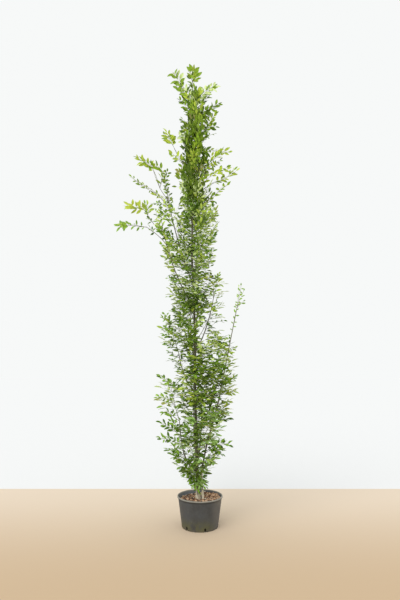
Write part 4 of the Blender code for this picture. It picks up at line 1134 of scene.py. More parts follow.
def pot_shape():
    """The turned pot, a little out of round, with its drain notches."""
    pot = settings("pot")
    outer, inner, (first, last) = pot_sheets()
    sheets = []
    for profile in (outer, inner):
        grid = turned(profile, POT_SEGMENTS)
        angle = np.arctan2(grid[..., 1], grid[..., 0])
        high = grid[..., 2] / pot.height
        swell = 1 + high * (0.0016 * np.cos(2 * angle + 0.7) + 0.0008 * np.cos(5 * angle + 9 * high))
        grid[..., :2] *= swell[..., None]
        sheets.append(grid)
    open_cells = np.zeros((len(outer) - 1, POT_SEGMENTS), bool)
    for notch in range(pot.notches):
        centre = round((pot.notch_azimuth / (2 * math.pi) + notch / pot.notches) * POT_SEGMENTS)
        around = np.arange(centre - 1, centre + 2) % POT_SEGMENTS
        open_cells[first:last, around] = True
        for sheet in sheets:
            sheet[last - 1:last + 1, around[1:], 2] += NOTCH_ARCH
    return double_sheet(sheets[0], sheets[1], open_cells)


# Soil and chips

# Soil: segments round it, depth of the hollow at the back left, and its swell by radius
SOIL_SEGMENTS = 120
HOLLOW = 0.010
SWELL = ((0.045, 0.12, 0.175), (0, 1, 0.4))

# Chips: sides, tilt, how far from the axis they lie and how high on the soil, room round the two
# stems, and the bare soil in front as the sky is given: across, to the back, half sizes
CHIP_SIDES = 6
CHIP_TILT = 0.24
CHIP_REACH = 0.176
CHIP_SEAT = 0.0012
TRUNK_ROOM = 0.030
STEM_ROOM = 0.022
BARE_SOIL = (-0.02, -0.085, 0.070, 0.050)

# Kinds of chips: base colour, and the shares of all chips between which they lie
CHIP_KINDS = {
    "chips_brown": ((0.360, 0.190, 0.105), (0.00, 0.30)),
    "chips_tan": ((0.620, 0.400, 0.250), (0.30, 0.68)),
    "chips_pale": ((0.780, 0.650, 0.490), (0.68, 0.80)),
    "chips_dark": ((0.085, 0.050, 0.034), (0.80, 1.00)),
}


def soil_height(x, y):
    """Height of the soil: level round the stems, swelling towards the wall, rising to a heap at
    the back right and sinking at the back left, with crumbs from crossed waves."""
    mulch = settings("mulch")
    radius = np.hypot(x, y)
    swell = mulch.mound * np.interp(radius, *SWELL)
    heap = mulch.heap * np.interp((x * 0.86 + y * 0.5), (0.02, 0.13), (0, 1))
    hollow = HOLLOW * np.interp((-x * 0.8 + y * 0.6), (0.06, 0.15), (0, 1))
    crumbs = np.sin(x * 310 + 2 * np.sin(y * 130)) * np.sin(y * 290 + 2 * np.sin(x * 150))
    crumbs = crumbs + 0.6 * np.sin((x + y) * 520) * np.sin((x - y) * 470)
    near = np.interp(radius, (0.160, 0.185), (1, 0.2))
    return SOIL_LEVEL + swell + 0.7 * heap - hollow + mulch.lumps * 0.35 * crumbs * near


def soil_shape():
    """A turned plug that fills the pot, its top a disc of rings lifted to the soil's height."""
    pot = settings("pot")
    inside = wall_at(SOIL_LEVEL) - pot.wall - 2 * GAP
    rings = np.concatenate([[0.0015], np.linspace(0.006, inside, 44)])
    profile = [(0.02, pot.floor + GAP), (pot.base_radius - 0.030, pot.floor + GAP),
               (pot.base_radius - 0.028, 0.034)]
    profile += [(wall_at(z) - pot.wall - 2 * GAP, z) for z in (0.045, 0.10, 0.16, SOIL_LEVEL - 0.008)]
    body = turned(profile, SOIL_SEGMENTS)
    top = turned([(radius, SOIL_LEVEL) for radius in rings[::-1]], SOIL_SEGMENTS)
    top[..., 2] = soil_height(top[..., 0], top[..., 1])
    grid = np.concatenate([body, top])
    foot = np.arange(SOIL_SEGMENTS)
    last = (len(grid) - 1) * SOIL_SEGMENTS + foot
    faces = [grid_faces(len(grid), SOIL_SEGMENTS, True), last[None], foot[None, ::-1]]
    return grid.reshape(-1, 3), faces


def chip_shapes(rng, count):
    """Bark chips: each a slab with six uneven corners, its upper side a little smaller, laid on
    the soil at a random turn and tilt. Returns points (count, 12, 3) and the faces of one."""
    mulch = settings("mulch")
    corner = np.radians([12, 68, 128, 190, 250, 310])
    long = mulch.chip_length * rng.uniform(0.55, 1.35, (count, 1)) / 2
    wide = long * rng.uniform(0.30, 0.62, (count, 1))
    thick = rng.uniform(0.0012, 0.0034, (count, 1))
    jitter = rng.uniform(0.78, 1.18, (count, CHIP_SIDES))
    outline = np.stack([long * np.cos(corner) * jitter, wide * np.sin(corner) * jitter], axis=-1)
    flat = (count, CHIP_SIDES, 1)
    lower = np.concatenate([outline, -thick[..., None] + rng.normal(0, 0.0004, flat)], axis=2)
    upper = np.concatenate([outline * 0.84, thick[..., None] + rng.normal(0, 0.0006, flat)], axis=2)
    shape = np.concatenate([lower, upper], axis=1)
    shape[..., 2] += 0.10 * shape[..., 0] ** 2 / np.maximum(long, 1e-4)
    turn = rng.uniform(0, 2 * np.pi, count)
    ahead = unit(np.stack([np.cos(turn), np.sin(turn), rng.normal(0, CHIP_TILT, count)], axis=1))
    side = np.stack([-np.sin(turn), np.cos(turn), rng.normal(0, CHIP_TILT, count)], axis=1)
    up = unit(np.cross(ahead, side))
    axes = np.stack([ahead, np.cross(up, ahead), up], axis=1)
    radius = CHIP_REACH * np.sqrt(rng.uniform(0, 1, count))
    angle = rng.uniform(0, 2 * np.pi, count)
    x, y = radius * np.cos(angle), radius * np.sin(angle)
    heaped = rng.uniform(0.000, 0.008, count) * np.interp(x + y, (-0.15, 0.15), (0.6, 1.0))
    middle = np.stack([x, y, soil_height(x, y) + heaped + CHIP_SEAT], axis=1)
    points = np.einsum("nvk,nkj->nvj", shape, axes) + middle[:, None]
    ring = np.arange(CHIP_SIDES)
    after = np.roll(ring, -1)
    sides = np.stack([ring, after, after + CHIP_SIDES, ring + CHIP_SIDES], axis=1)
    return points, [sides, ring[None, ::-1], ring[None] + CHIP_SIDES]


def kept_chips(points):
    """Chips that lie inside the pot, under its rim, and off the stems and the bare soil in front."""
    pot = settings("pot")
    x, y, _ = points.mean(axis=1).T
    within = np.hypot(points[..., 0], points[..., 1]).max(axis=1) < wall_at(SOIL_LEVEL) - pot.wall - 0.001
    low = points[..., 2].max(axis=1) < pot.height - 0.004
    trunk = np.hypot(x - LEAN_X[0], y - LEAN_Y[0]) > TRUNK_ROOM
    second = np.hypot(x - STEM_X[0], y - STEM_Y[0]) > STEM_ROOM
    across, back, wide, deep = BARE_SOIL
    bare = np.hypot((x - across) / wide, (y - back) / deep) < 1
    return within & low & trunk & second & ~(bare & (np.arange(len(points)) % 3 > 0))


# Bark

# Step between a bough's rings, swell and length of the collar at its foot, a knot's lift, swell
# and reach, length of the ring at a joint, roughness and the roots' ridges as shares of the
# radius, and the height over which the ridges die out
BOUGH_RING = 0.009
COLLAR_SWELL = 0.55
COLLAR_LENGTH = 0.014
KNOT_LIFT = 0.01
KNOT_SWELL = 0.55
KNOT_REACH = 2.2
JOINT_RING = 0.0035
ROUGHNESS = 0.02
ROOT_RIDGE = 0.16
ROOT_HEIGHT = 0.05


def limb_skin(path, radii, sides, nodes_apart, rng, furrows=0.0, furrow_count=4, lobes=None, knots=()):
    """Skin of one limb: radius(s, a) = r(s) (1 + furrows + joints) + knots, where the furrows are
    slow waves that drift round the limb, the joints are low rings where leaves once grew, and a
    knot is a bulge round the foot of each limb that leaves this one."""
    length = reached(path)
    angles = 2 * np.pi * np.arange(sides) / sides
    drift = np.cumsum(rng.normal(0, 0.05, len(path))) * 0.5
    phase = rng.uniform(0, 2 * np.pi, 3)
    wave = np.cos(furrow_count * angles[None] + phase[0] + (drift + length * 0.9)[:, None])
    wave = wave + 0.6 * np.cos((furrow_count + 3) * angles[None] + phase[1] - (1.7 * length)[:, None])
    wave = wave + 0.5 * np.cos(2 * angles[None] + phase[2] + (9 * length)[:, None])
    skin = 1 + furrows * 0.5 * wave
    ring = np.exp(-((length % nodes_apart - nodes_apart / 2) / JOINT_RING) ** 2)
    lean_side = np.cos(angles[None] - (np.floor(length / nodes_apart) * math.radians(GOLDEN))[:, None])
    skin = skin + ring[:, None] * (0.07 + 0.10 * np.maximum(lean_side, 0))
    skin = skin + ROUGHNESS * rng.normal(0, 1, (len(path), sides))
    surface = radii[:, None] * skin
    if lobes is not None:
        surface = surface * lobes(path[:, 2:3], angles[None])
    side, up = carried_frames(unit(np.gradient(path, axis=0))[None])
    around = np.cos(angles)[None, :, None] * side[0][:, None] + np.sin(angles)[None, :, None] * up[0][:, None]
    for middle, out, size in knots:
        facing = np.clip((around * out).sum(axis=2), 0, 1) ** 3
        near = np.exp(-((np.linalg.norm(path - middle, axis=1) / (KNOT_REACH * size)) ** 2))
        surface = surface + size * KNOT_SWELL * near[:, None] * facing
    return tubes(path[None], surface[None], sides)


def root_lobes(height, angles):
    """Ridges of the root flare that die out above the soil."""
    fading = np.exp(-(height - TRUNK_FOOT) / ROOT_HEIGHT)
    return 1 + ROOT_RIDGE * fading * np.cos(FLARE_ROOTS * angles)


def bough_skins(limbs, rng):
    """Skins of all the boughs, each widened into a collar where it leaves its parent."""
    shapes = []
    for name, (parent, foot, azimuth, reach, rise, arch, thick, thin) in BOUGHS.items():
        rings = max(20, round(math.hypot(reach, rise) / BOUGH_RING))
        path = evenly(arc(limbs[name][0], azimuth, reach, rise, arch, BOUGH_POINTS), rings)
        length = reached(path)
        radii = np.interp(length / length[-1], (0, 1), (thick, thin))
        root = trunk_radius(foot) if parent == "trunk" else thick
        radii = radii * (1 + COLLAR_SWELL * np.exp(-np.maximum(length - root, 0) / COLLAR_LENGTH))
        shapes.append(limb_skin(path, radii, sides=12, nodes_apart=0.046, rng=rng, furrows=0.04,
                                furrow_count=3))
    return joined(shapes)


def trunk_skin(rng):
    """Skin of the trunk, with a knot over the foot of each bough that leaves it."""
    heights = np.linspace(TRUNK_FOOT, TRUNK_TOP, TRUNK_SKIN_RINGS)
    knots = []
    for parent, foot, azimuth, *_, thick, _ in BOUGHS.values():
        if parent == "trunk":
            angle = math.radians(azimuth)
            out = np.array([math.cos(angle), math.sin(angle), 0])
            knots.append((trunk_axis(foot + KNOT_LIFT)[0], out, thick))
    return limb_skin(trunk_axis(heights), trunk_radius(heights), sides=28, nodes_apart=0.062, rng=rng,
                     furrows=settings("limbs").fluting, lobes=root_lobes, knots=knots)


def second_stem_skin(rng):
    """Skin of the second stem."""
    heights = np.linspace(TRUNK_FOOT, STEM_TOP, STEM_SKIN_RINGS)
    path = lean(heights, STEM_HEIGHTS, STEM_X, STEM_Y)
    return limb_skin(path, stem_radius(heights), sides=16, nodes_apart=0.055, rng=rng, furrows=0.045,
                     furrow_count=3)


# Twigs and leaves

# Distance between a twig's joints and least room round a leaf, as shares of a leaf. Where the
# crown is thin the room is greater, and some leaves are left out
JOINT_STEP = 0.36
LEAF_ROOM = 0.20
SPRAY_ROOM = 0.18
THINNING = 2.4
THIN_LEFT_OUT = 0.4

# Places along a leaf, as shares of its blade, at which its room and its limits are tested
LEAF_TESTS = np.array([[0.58], [1.1]])

# Degrees between a leaf and its twig with their scatter, on the outer sprays and elsewhere, and
# how much less they are where shoots rise and at a twig's tip
SPRAY_LEAF_SPREAD = (62, 17)
LEAF_SPREAD = (58, 10)
SPREAD_RISEN = 12
SPREAD_AT_TIP = 14

# Heights between which shoots turn upright, and those of the outer sprays with how upright
# they are at each
UPRIGHT = (2.5, 3.4)
OUTER_UPRIGHT = ((1.5, 2.6), (0.45, 1.0))

# By height: length of a leaf as a share of the setting, and how far from all leaves a place
# must be to get a twig
SIZE_BY_HEIGHT = ((0.40, 0.60, 1.0, 1.5, 2.0, 2.9, 3.4, 3.8, 4.2),
                  (1.22, 1.22, 1.22, 1.14, 1.04, 0.97, 1.00, 1.14, 1.24))
ROOM_BY_HEIGHT = ((0.35, 1.0, 1.6, 2.0, 2.4, 2.9, 3.3, 3.6, 4.0),
                  (0.046, 0.042, 0.043, 0.041, 0.037, 0.036, 0.036, 0.040, 0.046))

# Clearance from the limbs and above the pot, and how far leaves and twigs may pass the solids'
# box, the outline, and the halfway line to another mass
LIMB_CLEARANCE = 0.013
POT_CLEARANCE = 0.018
BOX_MARGIN = 0.018
OUTLINE_SLACK = 0.02
TWIG_SLACK = 0.02
LEAF_SLACK = 0.045
FAR_AWAY = 9.0

# Index of the outer sprays, which belong to no mass, and fullness below which a mass is slim
FREE = -1
SLIM_BELOW = 11

# Twigs: swing of the joints, lift of a twig's heading and of its curve, directions tried, the
# share of the stem up to which they grow, the angle from it in degrees and how much less it is
# where shoots rise, and the longest as a share of the stem
ZIGZAG = 0.014
TWIG_LIFT = 0.10
DIRECTIONS = 12
TWIGS_TO = 0.96
TWIG_ANGLES = (44, 68)
TWIG_RISEN = 14
LONGEST_TWIG = 0.44

# Forks: angle from the twig in degrees, length and girth as shares of the twig's, and each
# further fork's loss of length
FORK_ANGLES = (38, 58)
FORK_LENGTHS = (0.50, 0.72)
FORK_GIRTH = 0.66
FORK_LOSS = 0.10

# Outer sprays: points along one and in the window that evens it, how much of a leaf its axis
# stops short, uneven spacing of its joints, its least radius and gain, and the length at which
# the gain is full
SPRAY_POINTS = 61
SPRAY_WINDOW = 19
SPRAY_SHORT = 0.40
SPRAY_UNEVEN = 0.3
SPRAY_RADIUS = (0.0013, 0.0008)
SPRAY_LONG = 0.3

# Twins of the outer sprays: how far their knots stray, their share of leaves, and how many
# of them are pale
TWIN_STRAY = 0.013
TWIN_LEAVES = 0.75
TWIN_PALE = 0.10

# Filling of the close crown: step in height, its scatter, targets on the spiral and in front of
# the trunk at each step, and how much more or less room a target needs in thin and dense places
# and within reach in front of the trunk
FILL_STEP = 0.017
FILL_SCATTER = 0.01
TARGETS = 10
FRONT_TARGETS = 2
THIN_ROOM = 1.8
DENSE_ROOM = 0.82
FRONT_ROOM = 0.6
FRONT_REACH = 0.03

# Short twigs that fill it: best length and its tolerance, least and greatest length, tolerance
# of the slope and the least slope in radians, girth, and lengths from which they fork
FILL_LENGTH = (0.11, 0.05)
FILL_LENGTHS = (0.045, 0.26)
FILL_SLOPE = 0.4
FILL_SLOPE_LEAST = 0.05
FILL_GIRTH = 0.45
FILL_FORKS = (0.09, 0.15)

# Tints: shares of pale and dry sprays, size of a dry spot, distance from the trunk that adds 1
# to a spray's brightness, what its height adds, what dense places take off, and minus the
# brightness at which one tint gives way to the next. The brightness is partly painted light:
# outer sprays and those near the foot are painted as lit, inner and dense ones as shaded
PALE_SHARE = 0.17
DRY_SHARE = 0.05
DRY_SPOT = 0.016
BRIGHT_AT = 0.34
BRIGHT_BY_HEIGHT = ((0.4, 0.9, 2.8, 3.2, 4.0), (0.56, 0.10, 0.06, 0.08, 0.08))
DENSE_SHADE = 0.30
TINT_CUTS = (-1.60, -0.86, -0.38)


def uprightness(height, outer=False):
    """0 in the lower crown, with level sprays, to 1 near the top, where shoots and leaves rise.
    The outer sprays turn to the light from further down."""
    return float(np.interp(height, *OUTER_UPRIGHT) if outer else np.interp(height, UPRIGHT, (0, 1)))


class Growth:
    """Everything that grows on the foliage stems: axes of twigs and shoots, and leaves."""

    def __init__(self, limbs):
        self.rows = mass_rows()
        self.stems = mass_stems(limbs)
        self.axes = [evenly(path, STEM_RINGS) for path in self.stems.values()]
        self.names = list(self.stems)
        self.limb_points = np.concatenate([evenly(path, 200) for path in limbs.values()])
        self.supports = [evenly(path, 80)[1 if name == "trunk" else 14:] for name, path in limbs.items()]
        self.supports += [path[3:] for name, path in self.stems.items() if name not in SPRAYED]
        self.centres = np.zeros((0, 3))
        self.middles = np.zeros((0, 3))
        self.twigs, self.leaves = [], []

    def own(self, index, points, slack):
        """Whether points lie nearer to their own stem than to any other, but for some slack."""
        distances = np.stack([np.linalg.norm(points[:, None] - axis[None], axis=2).min(axis=1)
                              for axis in self.axes])
        mine = distances[index].copy()
        distances[index] = FAR_AWAY
        return mine < distances.min(axis=0) + slack

    def allowed(self, index, points, slack):
        """Points inside the mass's own space, the outline, and clear of the sky and the pot. A
        twig on a limb has no mass, and so no index."""
        low, high = np.array(CAD_BOX) + np.array([[-BOX_MARGIN], [BOX_MARGIN]])
        good = points[:, 2] > settings("pot").height + POT_CLEARANCE
        good &= (points > low).all(axis=1) & (points < high).all(axis=1)
        if index == FREE:
            return good
        good &= ~in_places(points, SKY) & ~((points[:, 1] < 0.0) & in_places(points, SHOWING))
        if index is not None:
            good &= self.own(index, points, slack)
        if index is None or self.names[index] not in REACHING:
            good &= in_outline(points, OUTLINE_SLACK)
        return good

    def slim(self, index):
        """Whether a mass is one of the open outlying twigs, not part of the close crown."""
        name = self.names[index]
        return name in REACHING and self.rows[name][7] < SLIM_BELOW

    def size_at(self, point):
        """Length of a leaf: small half way up, larger at the foot and the top of the crown."""
        return settings("crown").leaf_length * np.interp(point[2], *SIZE_BY_HEIGHT)

    def leaf_out(self, rng, index, path, level, first, size, tint, flip):
        """Leaves at a twig's joints, on alternate sides, and one at its tip. A leaf is left out
        where it would leave its space, touch a limb or crowd another leaf."""
        headings = unit(np.gradient(path, axis=0))
        last = len(path) - 1
        tip_height = path[last, 2]
        rising = uprightness(tip_height, index == FREE)
        if tip_height > TOP_TINTS_FROM:
            tint = TOP_TINTS.get(tint, tint)
        if tip_height < FOOT_TINTS_TO:
            tint = FOOT_TINTS.get(tint, tint)
        wide, loose = SPRAY_LEAF_SPREAD if index == FREE else LEAF_SPREAD
        if index != FREE:
            wide = wide - SPREAD_RISEN * rising
        for k in range(first, last + 1):
            tip = k == last
            sign = 1 if tip else flip * (1 if k % 2 else -1)
            side = unit(np.cross(level, headings[k]))
            spread = (0, LEAF_SPREAD[1]) if tip else (wide - SPREAD_AT_TIP * k / last, loose)
            spread = math.radians(rng.normal(*spread))
            way = headings[k] * math.cos(spread) + side * math.sin(spread) * sign
            lift = rng.normal(0.20 * rising - 0.04, 0.16)
            way = unit(way * np.array([1, 1, 0.45 + 0.55 * rising]) + UP * lift)
            normal = level + UP * (1 - rising) + rng.normal(0, 0.40 - 0.04 * rising, 3)
            grown = size * np.interp(k / last, (0, 0.5, 1), (0.70, 1.0, 0.86)) * rng.uniform(0.72, 1.18)
            ends = path[k] + way * grown * LEAF_TESTS
            clear = np.linalg.norm(self.limb_points - ends[0], axis=1).min() > LIMB_CLEARANCE
            thin = in_places(ends[:1], THIN)[0]
            if thin and rng.uniform() < THIN_LEFT_OUT:
                continue
            least = size * (SPRAY_ROOM if index == FREE else LEAF_ROOM * (THINNING if thin else 1))
            room = np.linalg.norm(self.middles - ends[0], axis=1).min(initial=1.0) > least
            if clear and room and self.allowed(index, ends, LEAF_SLACK).all():
                self.middles = np.vstack([self.middles, ends[:1]])
                self.leaves.append((tint, path[k], way, normal, grown))

    def twig(self, rng, index, foot, way, long, level, tint, radius, forks):
        """One twig, foot + way L u + up L rise (2.6 u u - 1.6 u) with each joint a little to
        alternate sides, its leaves, and its forks, which lie in about the same plane."""
        size = self.size_at(foot + way * long)
        joints = max(3, round(long / (JOINT_STEP * size)))
        u = np.linspace(0, 1, joints + 1)[:, None]
        flip = rng.choice((-1, 1))
        side = unit(np.cross(level, way))
        signs = np.where(np.arange(joints + 1) % 2 == 0, 1, -1)[:, None]
        zigzag = side * signs * ZIGZAG * flip * np.sin(np.pi * u)
        path = foot + long * (way * u + UP * TWIG_LIFT * (2.6 * u * u - 1.6 * u) + zigzag)
        self.twigs.append((path, radius))
        self.leaf_out(rng, index, path, level, 1, size, tint, flip)
        for fork in range(forks):
            joint = (1 if joints < 6 else 2) + 2 * fork
            if joint > joints - 2:
                break
            sign = flip * (1 if fork % 2 else -1)
            spread = math.radians(rng.uniform(*FORK_ANGLES))
            branch = way * math.cos(spread) + side * sign * math.sin(spread) + level * rng.normal(0.10, 0.25)
            branch_length = long * rng.uniform(*FORK_LENGTHS) * (1 - FORK_LOSS * fork)
            tilted = unit(level + rng.normal(0, 0.22, 3))
            self.twig(rng, index, path[joint], unit(branch), branch_length, tilted, tint,
                      radius * FORK_GIRTH, 0)

    def plane(self, rng, tip, way, outlying):
        """Upper side of a spray: up in the lower crown, turned to the light at the top and on
        the outlying twigs."""
        turned_up = uprightness(tip[2], outlying)
        facing = 1.2 if outlying else 0.45
        level = UP * (1 - 0.6 * turned_up) + np.array([0.0, -facing, 0.0]) * turned_up
        level = level + rng.normal(0, 0.22 + (0.2 if outlying else 0.65) * turned_up, 3)
        return unit(level - way * (level @ way))

    def grow(self, index):
        """Twigs of one mass by the golden angle, each in the roomiest of a few directions."""
        crown = settings("crown")
        rng = np.random.default_rng([SEED, index])
        name = self.names[index]
        _, _, _, reach, rise, _, bare, wanted = self.rows[name]
        path = self.stems[name]
        longest = LONGEST_TWIG * math.hypot(reach, rise)
        slim = self.slim(index)
        count = 2 if slim else max(3, round(wanted * crown.twig_share))
        turn = rng.uniform(0, 360)
        for k in range(count):
            share = bare + (TWIGS_TO - bare) * (k + 0.35) / count
            point, heading = along(path, share)
            side = unit(np.cross(UP, heading) + np.array([1e-4, 0, 0]))
            best = None
            for attempt in range(DIRECTIONS):
                roll = math.radians(turn + GOLDEN * k + 360 / DIRECTIONS * attempt)
                out = side * math.cos(roll) + np.cross(heading, side) * math.sin(roll)
                spread = math.radians(rng.uniform(*TWIG_ANGLES) - TWIG_RISEN * uprightness(point[2]))
                way = unit(heading * math.cos(spread) + out * math.sin(spread) + UP * TWIG_LIFT)
                long = min(crown.twig_length * rng.uniform(0.8, 1.2), longest) * (1 - 0.35 * share)
                ends = point + way * np.array([[0.8 * long], [long + 0.03]])
                room = np.linalg.norm(self.centres - ends[0], axis=1).min(initial=0.3)
                if (best is None or room > best[0]) and self.allowed(index, ends, TWIG_SLACK).all():
                    best = (room, way, long, ends)
            if best is None:
                continue
            _, way, long, ends = best
            self.centres = np.vstack([self.centres, ends[:1]])
            radius = crown.twig_radius * (0.6 + 0.35 * long / crown.twig_length)
            level = self.plane(rng, ends[1], way, slim)
            tint = self.tint_of(rng, ends[1])
            self.twig(rng, index, point, way, long, level, tint, radius, 0 if slim else 2)
        self.crest(rng, index, path, bare, slim)

    def crest(self, rng, index, path, bare, slim):
        """Leaves on the stem itself, from its bare foot to its tip."""
        size = self.size_at(path[-1])
        step = JOINT_STEP * size * (1.0 if slim else 1.2)
        joints = max(4, round(reached(path)[-1] * (1 - bare) / step))
        fine = evenly(path, 60)
        line = evenly(fine[round((len(fine) - 1) * bare):], joints + 1)
        level = self.plane(rng, line[-1], unit(line[-1] - line[0]), slim)
        tint = self.tint_of(rng, line[-1])
        self.leaf_out(rng, index, line, level, 1 if slim else joints // 3, size, tint, 1)

    def spray_line(self, foot, knots, drift, size):
        """Smooth axis from the foot through the other knots, given as they show from the front.
        Each knot lies further back than the one before by the drift, and the axis ends a little
        short, so that the last leaf reaches the last knot."""
        line = [foot]
        for k, (across, height) in enumerate(knots[1:], 1):
            deep = foot[1] + drift * k
            scale = 1 + deep / VIEW_DISTANCE
            line.append(np.array([across * scale, deep, VIEW_HEIGHT + (height - VIEW_HEIGHT) * scale]))
        line = evenly(np.array(line), 200)
        kept = reached(line) < reached(line)[-1] - SPRAY_SHORT * size
        return evened(evenly(line[kept], SPRAY_POINTS), SPRAY_WINDOW)

    def twins(self, rng):
        """A second spray beside each of the larger ones, darker or pale, its knots a little astray."""
        darker = dict(zip(LEAF_TINTS, ("light", "mid", "deep", "deep")))
        for knots, leaves, size, tint, bare in SPRAYS:
            if size > TWIN_SIZE:
                astray = [(across + rng.normal(0, TWIN_STRAY), height + rng.normal(0, TWIN_STRAY))
                          for across, height in knots[1:]]
                tint = "pale" if rng.uniform() < TWIN_PALE else darker[tint]
                yield (knots[0], *astray), round(TWIN_LEAVES * leaves), size, tint, bare

    def sprays(self):
        """The outer sprays and their twins, each from the limb or stem that its first knot shows
        on, drifting a little to the front or back."""
        rng = np.random.default_rng([SEED, 300])
        supports = np.concatenate(self.supports)
        x, z = seen_from_front(supports)
        for knots, leaves, size, tint, bare in (*SPRAYS, *self.twins(rng)):
            cost = np.hypot(x - knots[0][0], z - knots[0][1]) + 0.2 * np.maximum(supports[:, 1], 0)
            foot = supports[int(cost.argmin())]
            hangs = knots[-1][1] < TUFT_BELOW
            drift = -SPRAY_SPREAD if hangs else rng.uniform(-SPRAY_SPREAD, SPRAY_SPREAD)
            line = self.spray_line(foot, knots, drift, size)
            bare_joints = max(1, round(3 * bare / (1 - bare)))
            joints = np.linspace(bare, 1, leaves + 1)
            joints[1:-1] += rng.uniform(-SPRAY_UNEVEN, SPRAY_UNEVEN, leaves - 1) * (joints[1] - joints[0])
            if bare:
                joints = np.concatenate([np.linspace(0, bare, bare_joints + 1)[:-1], joints])
            axis = between(joints, np.linspace(0, 1, SPRAY_POINTS), line)
            level = self.plane(rng, line[-1], unit(line[-1] - line[0]), True)
            short, gain = SPRAY_RADIUS
            self.twigs.append((axis, short + gain * min(1.0, reached(line)[-1] / SPRAY_LONG)))
            self.leaf_out(rng, FREE, axis, level, bare_joints if bare else 1, size * SPRAY_LEAF, tint, 1)

    def targets(self, rng):
        """Points spread through the close crown: for each height a few on a spiral of golden
        angles, nearer to the outside than to the trunk, and a few in front of the trunk."""
        turn = 0
        levels, lefts, rights = zip(*FILL)
        for height in np.arange(levels[0], levels[-1], FILL_STEP):
            left, right = np.interp(height, levels, lefts), np.interp(height, levels, rights)
            deep = np.interp(height, EDGE_HEIGHTS, DEPTH)
            for _ in range(TARGETS):
                turn += 1
                angle = math.radians(GOLDEN * turn)
                share = math.sqrt(rng.uniform(0.04, 1.0))
                x = (right - left) / 2 + (right + left) / 2 * share * math.cos(angle)
                yield np.array([x, deep * share * math.sin(angle), height + rng.normal(0, FILL_SCATTER)])
            for _ in range(FRONT_TARGETS):
                x = trunk_axis(height)[0][0] + rng.normal(0, 0.02)
                yield np.array([x, -deep * rng.uniform(0.25, 0.6), height])

    def fill(self):
        """Twigs from the nearest limb or stem into the parts of the close crown still empty."""
        rng = np.random.default_rng([SEED, 200])
        supports = np.concatenate(self.supports + [path[1:-1] for path, _ in self.twigs])
        radius = settings("crown").twig_radius * FILL_GIRTH
        best, tolerance = FILL_LENGTH
        least, greatest = FILL_LENGTHS
        for target in self.targets(rng):
            thin, dense = (in_places(target[None], places)[0] for places in (THIN, DENSE))
            room = np.interp(target[2], *ROOM_BY_HEIGHT)
            room *= (THIN_ROOM if thin else 1) * (DENSE_ROOM if dense else 1)
            if target[1] < 0 and abs(target[0] - trunk_axis(target[2])[0][0]) < FRONT_REACH:
                room *= FRONT_ROOM
            if np.linalg.norm(self.middles - target, axis=1).min() < room:
                continue
            if not self.allowed(None, target[None], 0.0)[0]:
                continue
            run = target - supports
            distance = np.linalg.norm(run, axis=1)
            slope = np.arctan2(run[:, 2], np.hypot(run[:, 0], run[:, 1]))
            wanted = math.radians(38 + 24 * uprightness(target[2]))
            cost = np.abs(distance - best) / tolerance + np.abs(slope - wanted) / FILL_SLOPE
            cost[(distance < least) | (distance > greatest) | (slope < FILL_SLOPE_LEAST)] = np.inf
            chosen = int(cost.argmin())
            if not np.isfinite(cost[chosen]):
                continue
            long = distance[chosen]
            way = run[chosen] / long
            level = self.plane(rng, target, way, False)
            tint = self.tint_of(rng, target)
            before = len(self.twigs)
            forks = sum(int(long > enough) for enough in FILL_FORKS)
            self.twig(rng, None, supports[chosen], way, long, level, tint, radius, forks)
            supports = np.concatenate([supports] + [path[1:-1] for path, _ in self.twigs[before:]])

    def tint_of(self, rng, tip):
        """Tint of a spray: brighter towards the outside of the crown and its foot, partly painted
        light: outer sprays are painted as lit, inner and dense ones as shaded.
        """
        x, z = (float(value[0]) for value in seen_from_front(tip[None]))
        if min(math.hypot(x - across, z - height) for across, height in DRY_SPOTS) < DRY_SPOT:
            return "dry"
        top = np.interp(tip[2], (2.9, 3.3), (0, 1))
        chance = rng.uniform()
        if chance < PALE_SHARE * (1 - 0.7 * top):
            return "pale"
        if chance > 1 - DRY_SHARE * top:
            return "dry"
        axis = trunk_axis(tip[2])[0]
        out = math.hypot(tip[0] - axis[0], tip[1] - axis[1])
        score = out / BRIGHT_AT + np.interp(tip[2], *BRIGHT_BY_HEIGHT) + rng.normal(0, 0.46 - 0.06 * top)
        if in_places(tip[None], DENSE)[0]:
            score -= DENSE_SHADE
        return LEAF_TINTS[int(np.searchsorted(TINT_CUTS, -score))]


# Blade: strips along it and places across it, its forward sweep, teeth and ripple, the stalk as
# a share of the blade, the stalk's sag and its radius
BLADE_STRIPS = 8
BLADE_ACROSS = (-1.0, -0.52, 0.0, 0.52, 1.0)
BLADE_SWEEP = 0.42
BLADE_TEETH = 0.05
BLADE_RIPPLE = 0.013
STALK = 0.13
STALK_SAG = 0.012
STALK_RADIUS = 0.00055


def half_width(s):
    """Half width of a blade along its midrib, as a share of the widest: s^0.62 (1 - s)^0.9."""
    foot, tip = 0.62, 0.9
    peak = foot / (foot + tip)
    return (s / peak) ** foot * ((1 - s) / (1 - peak)) ** tip


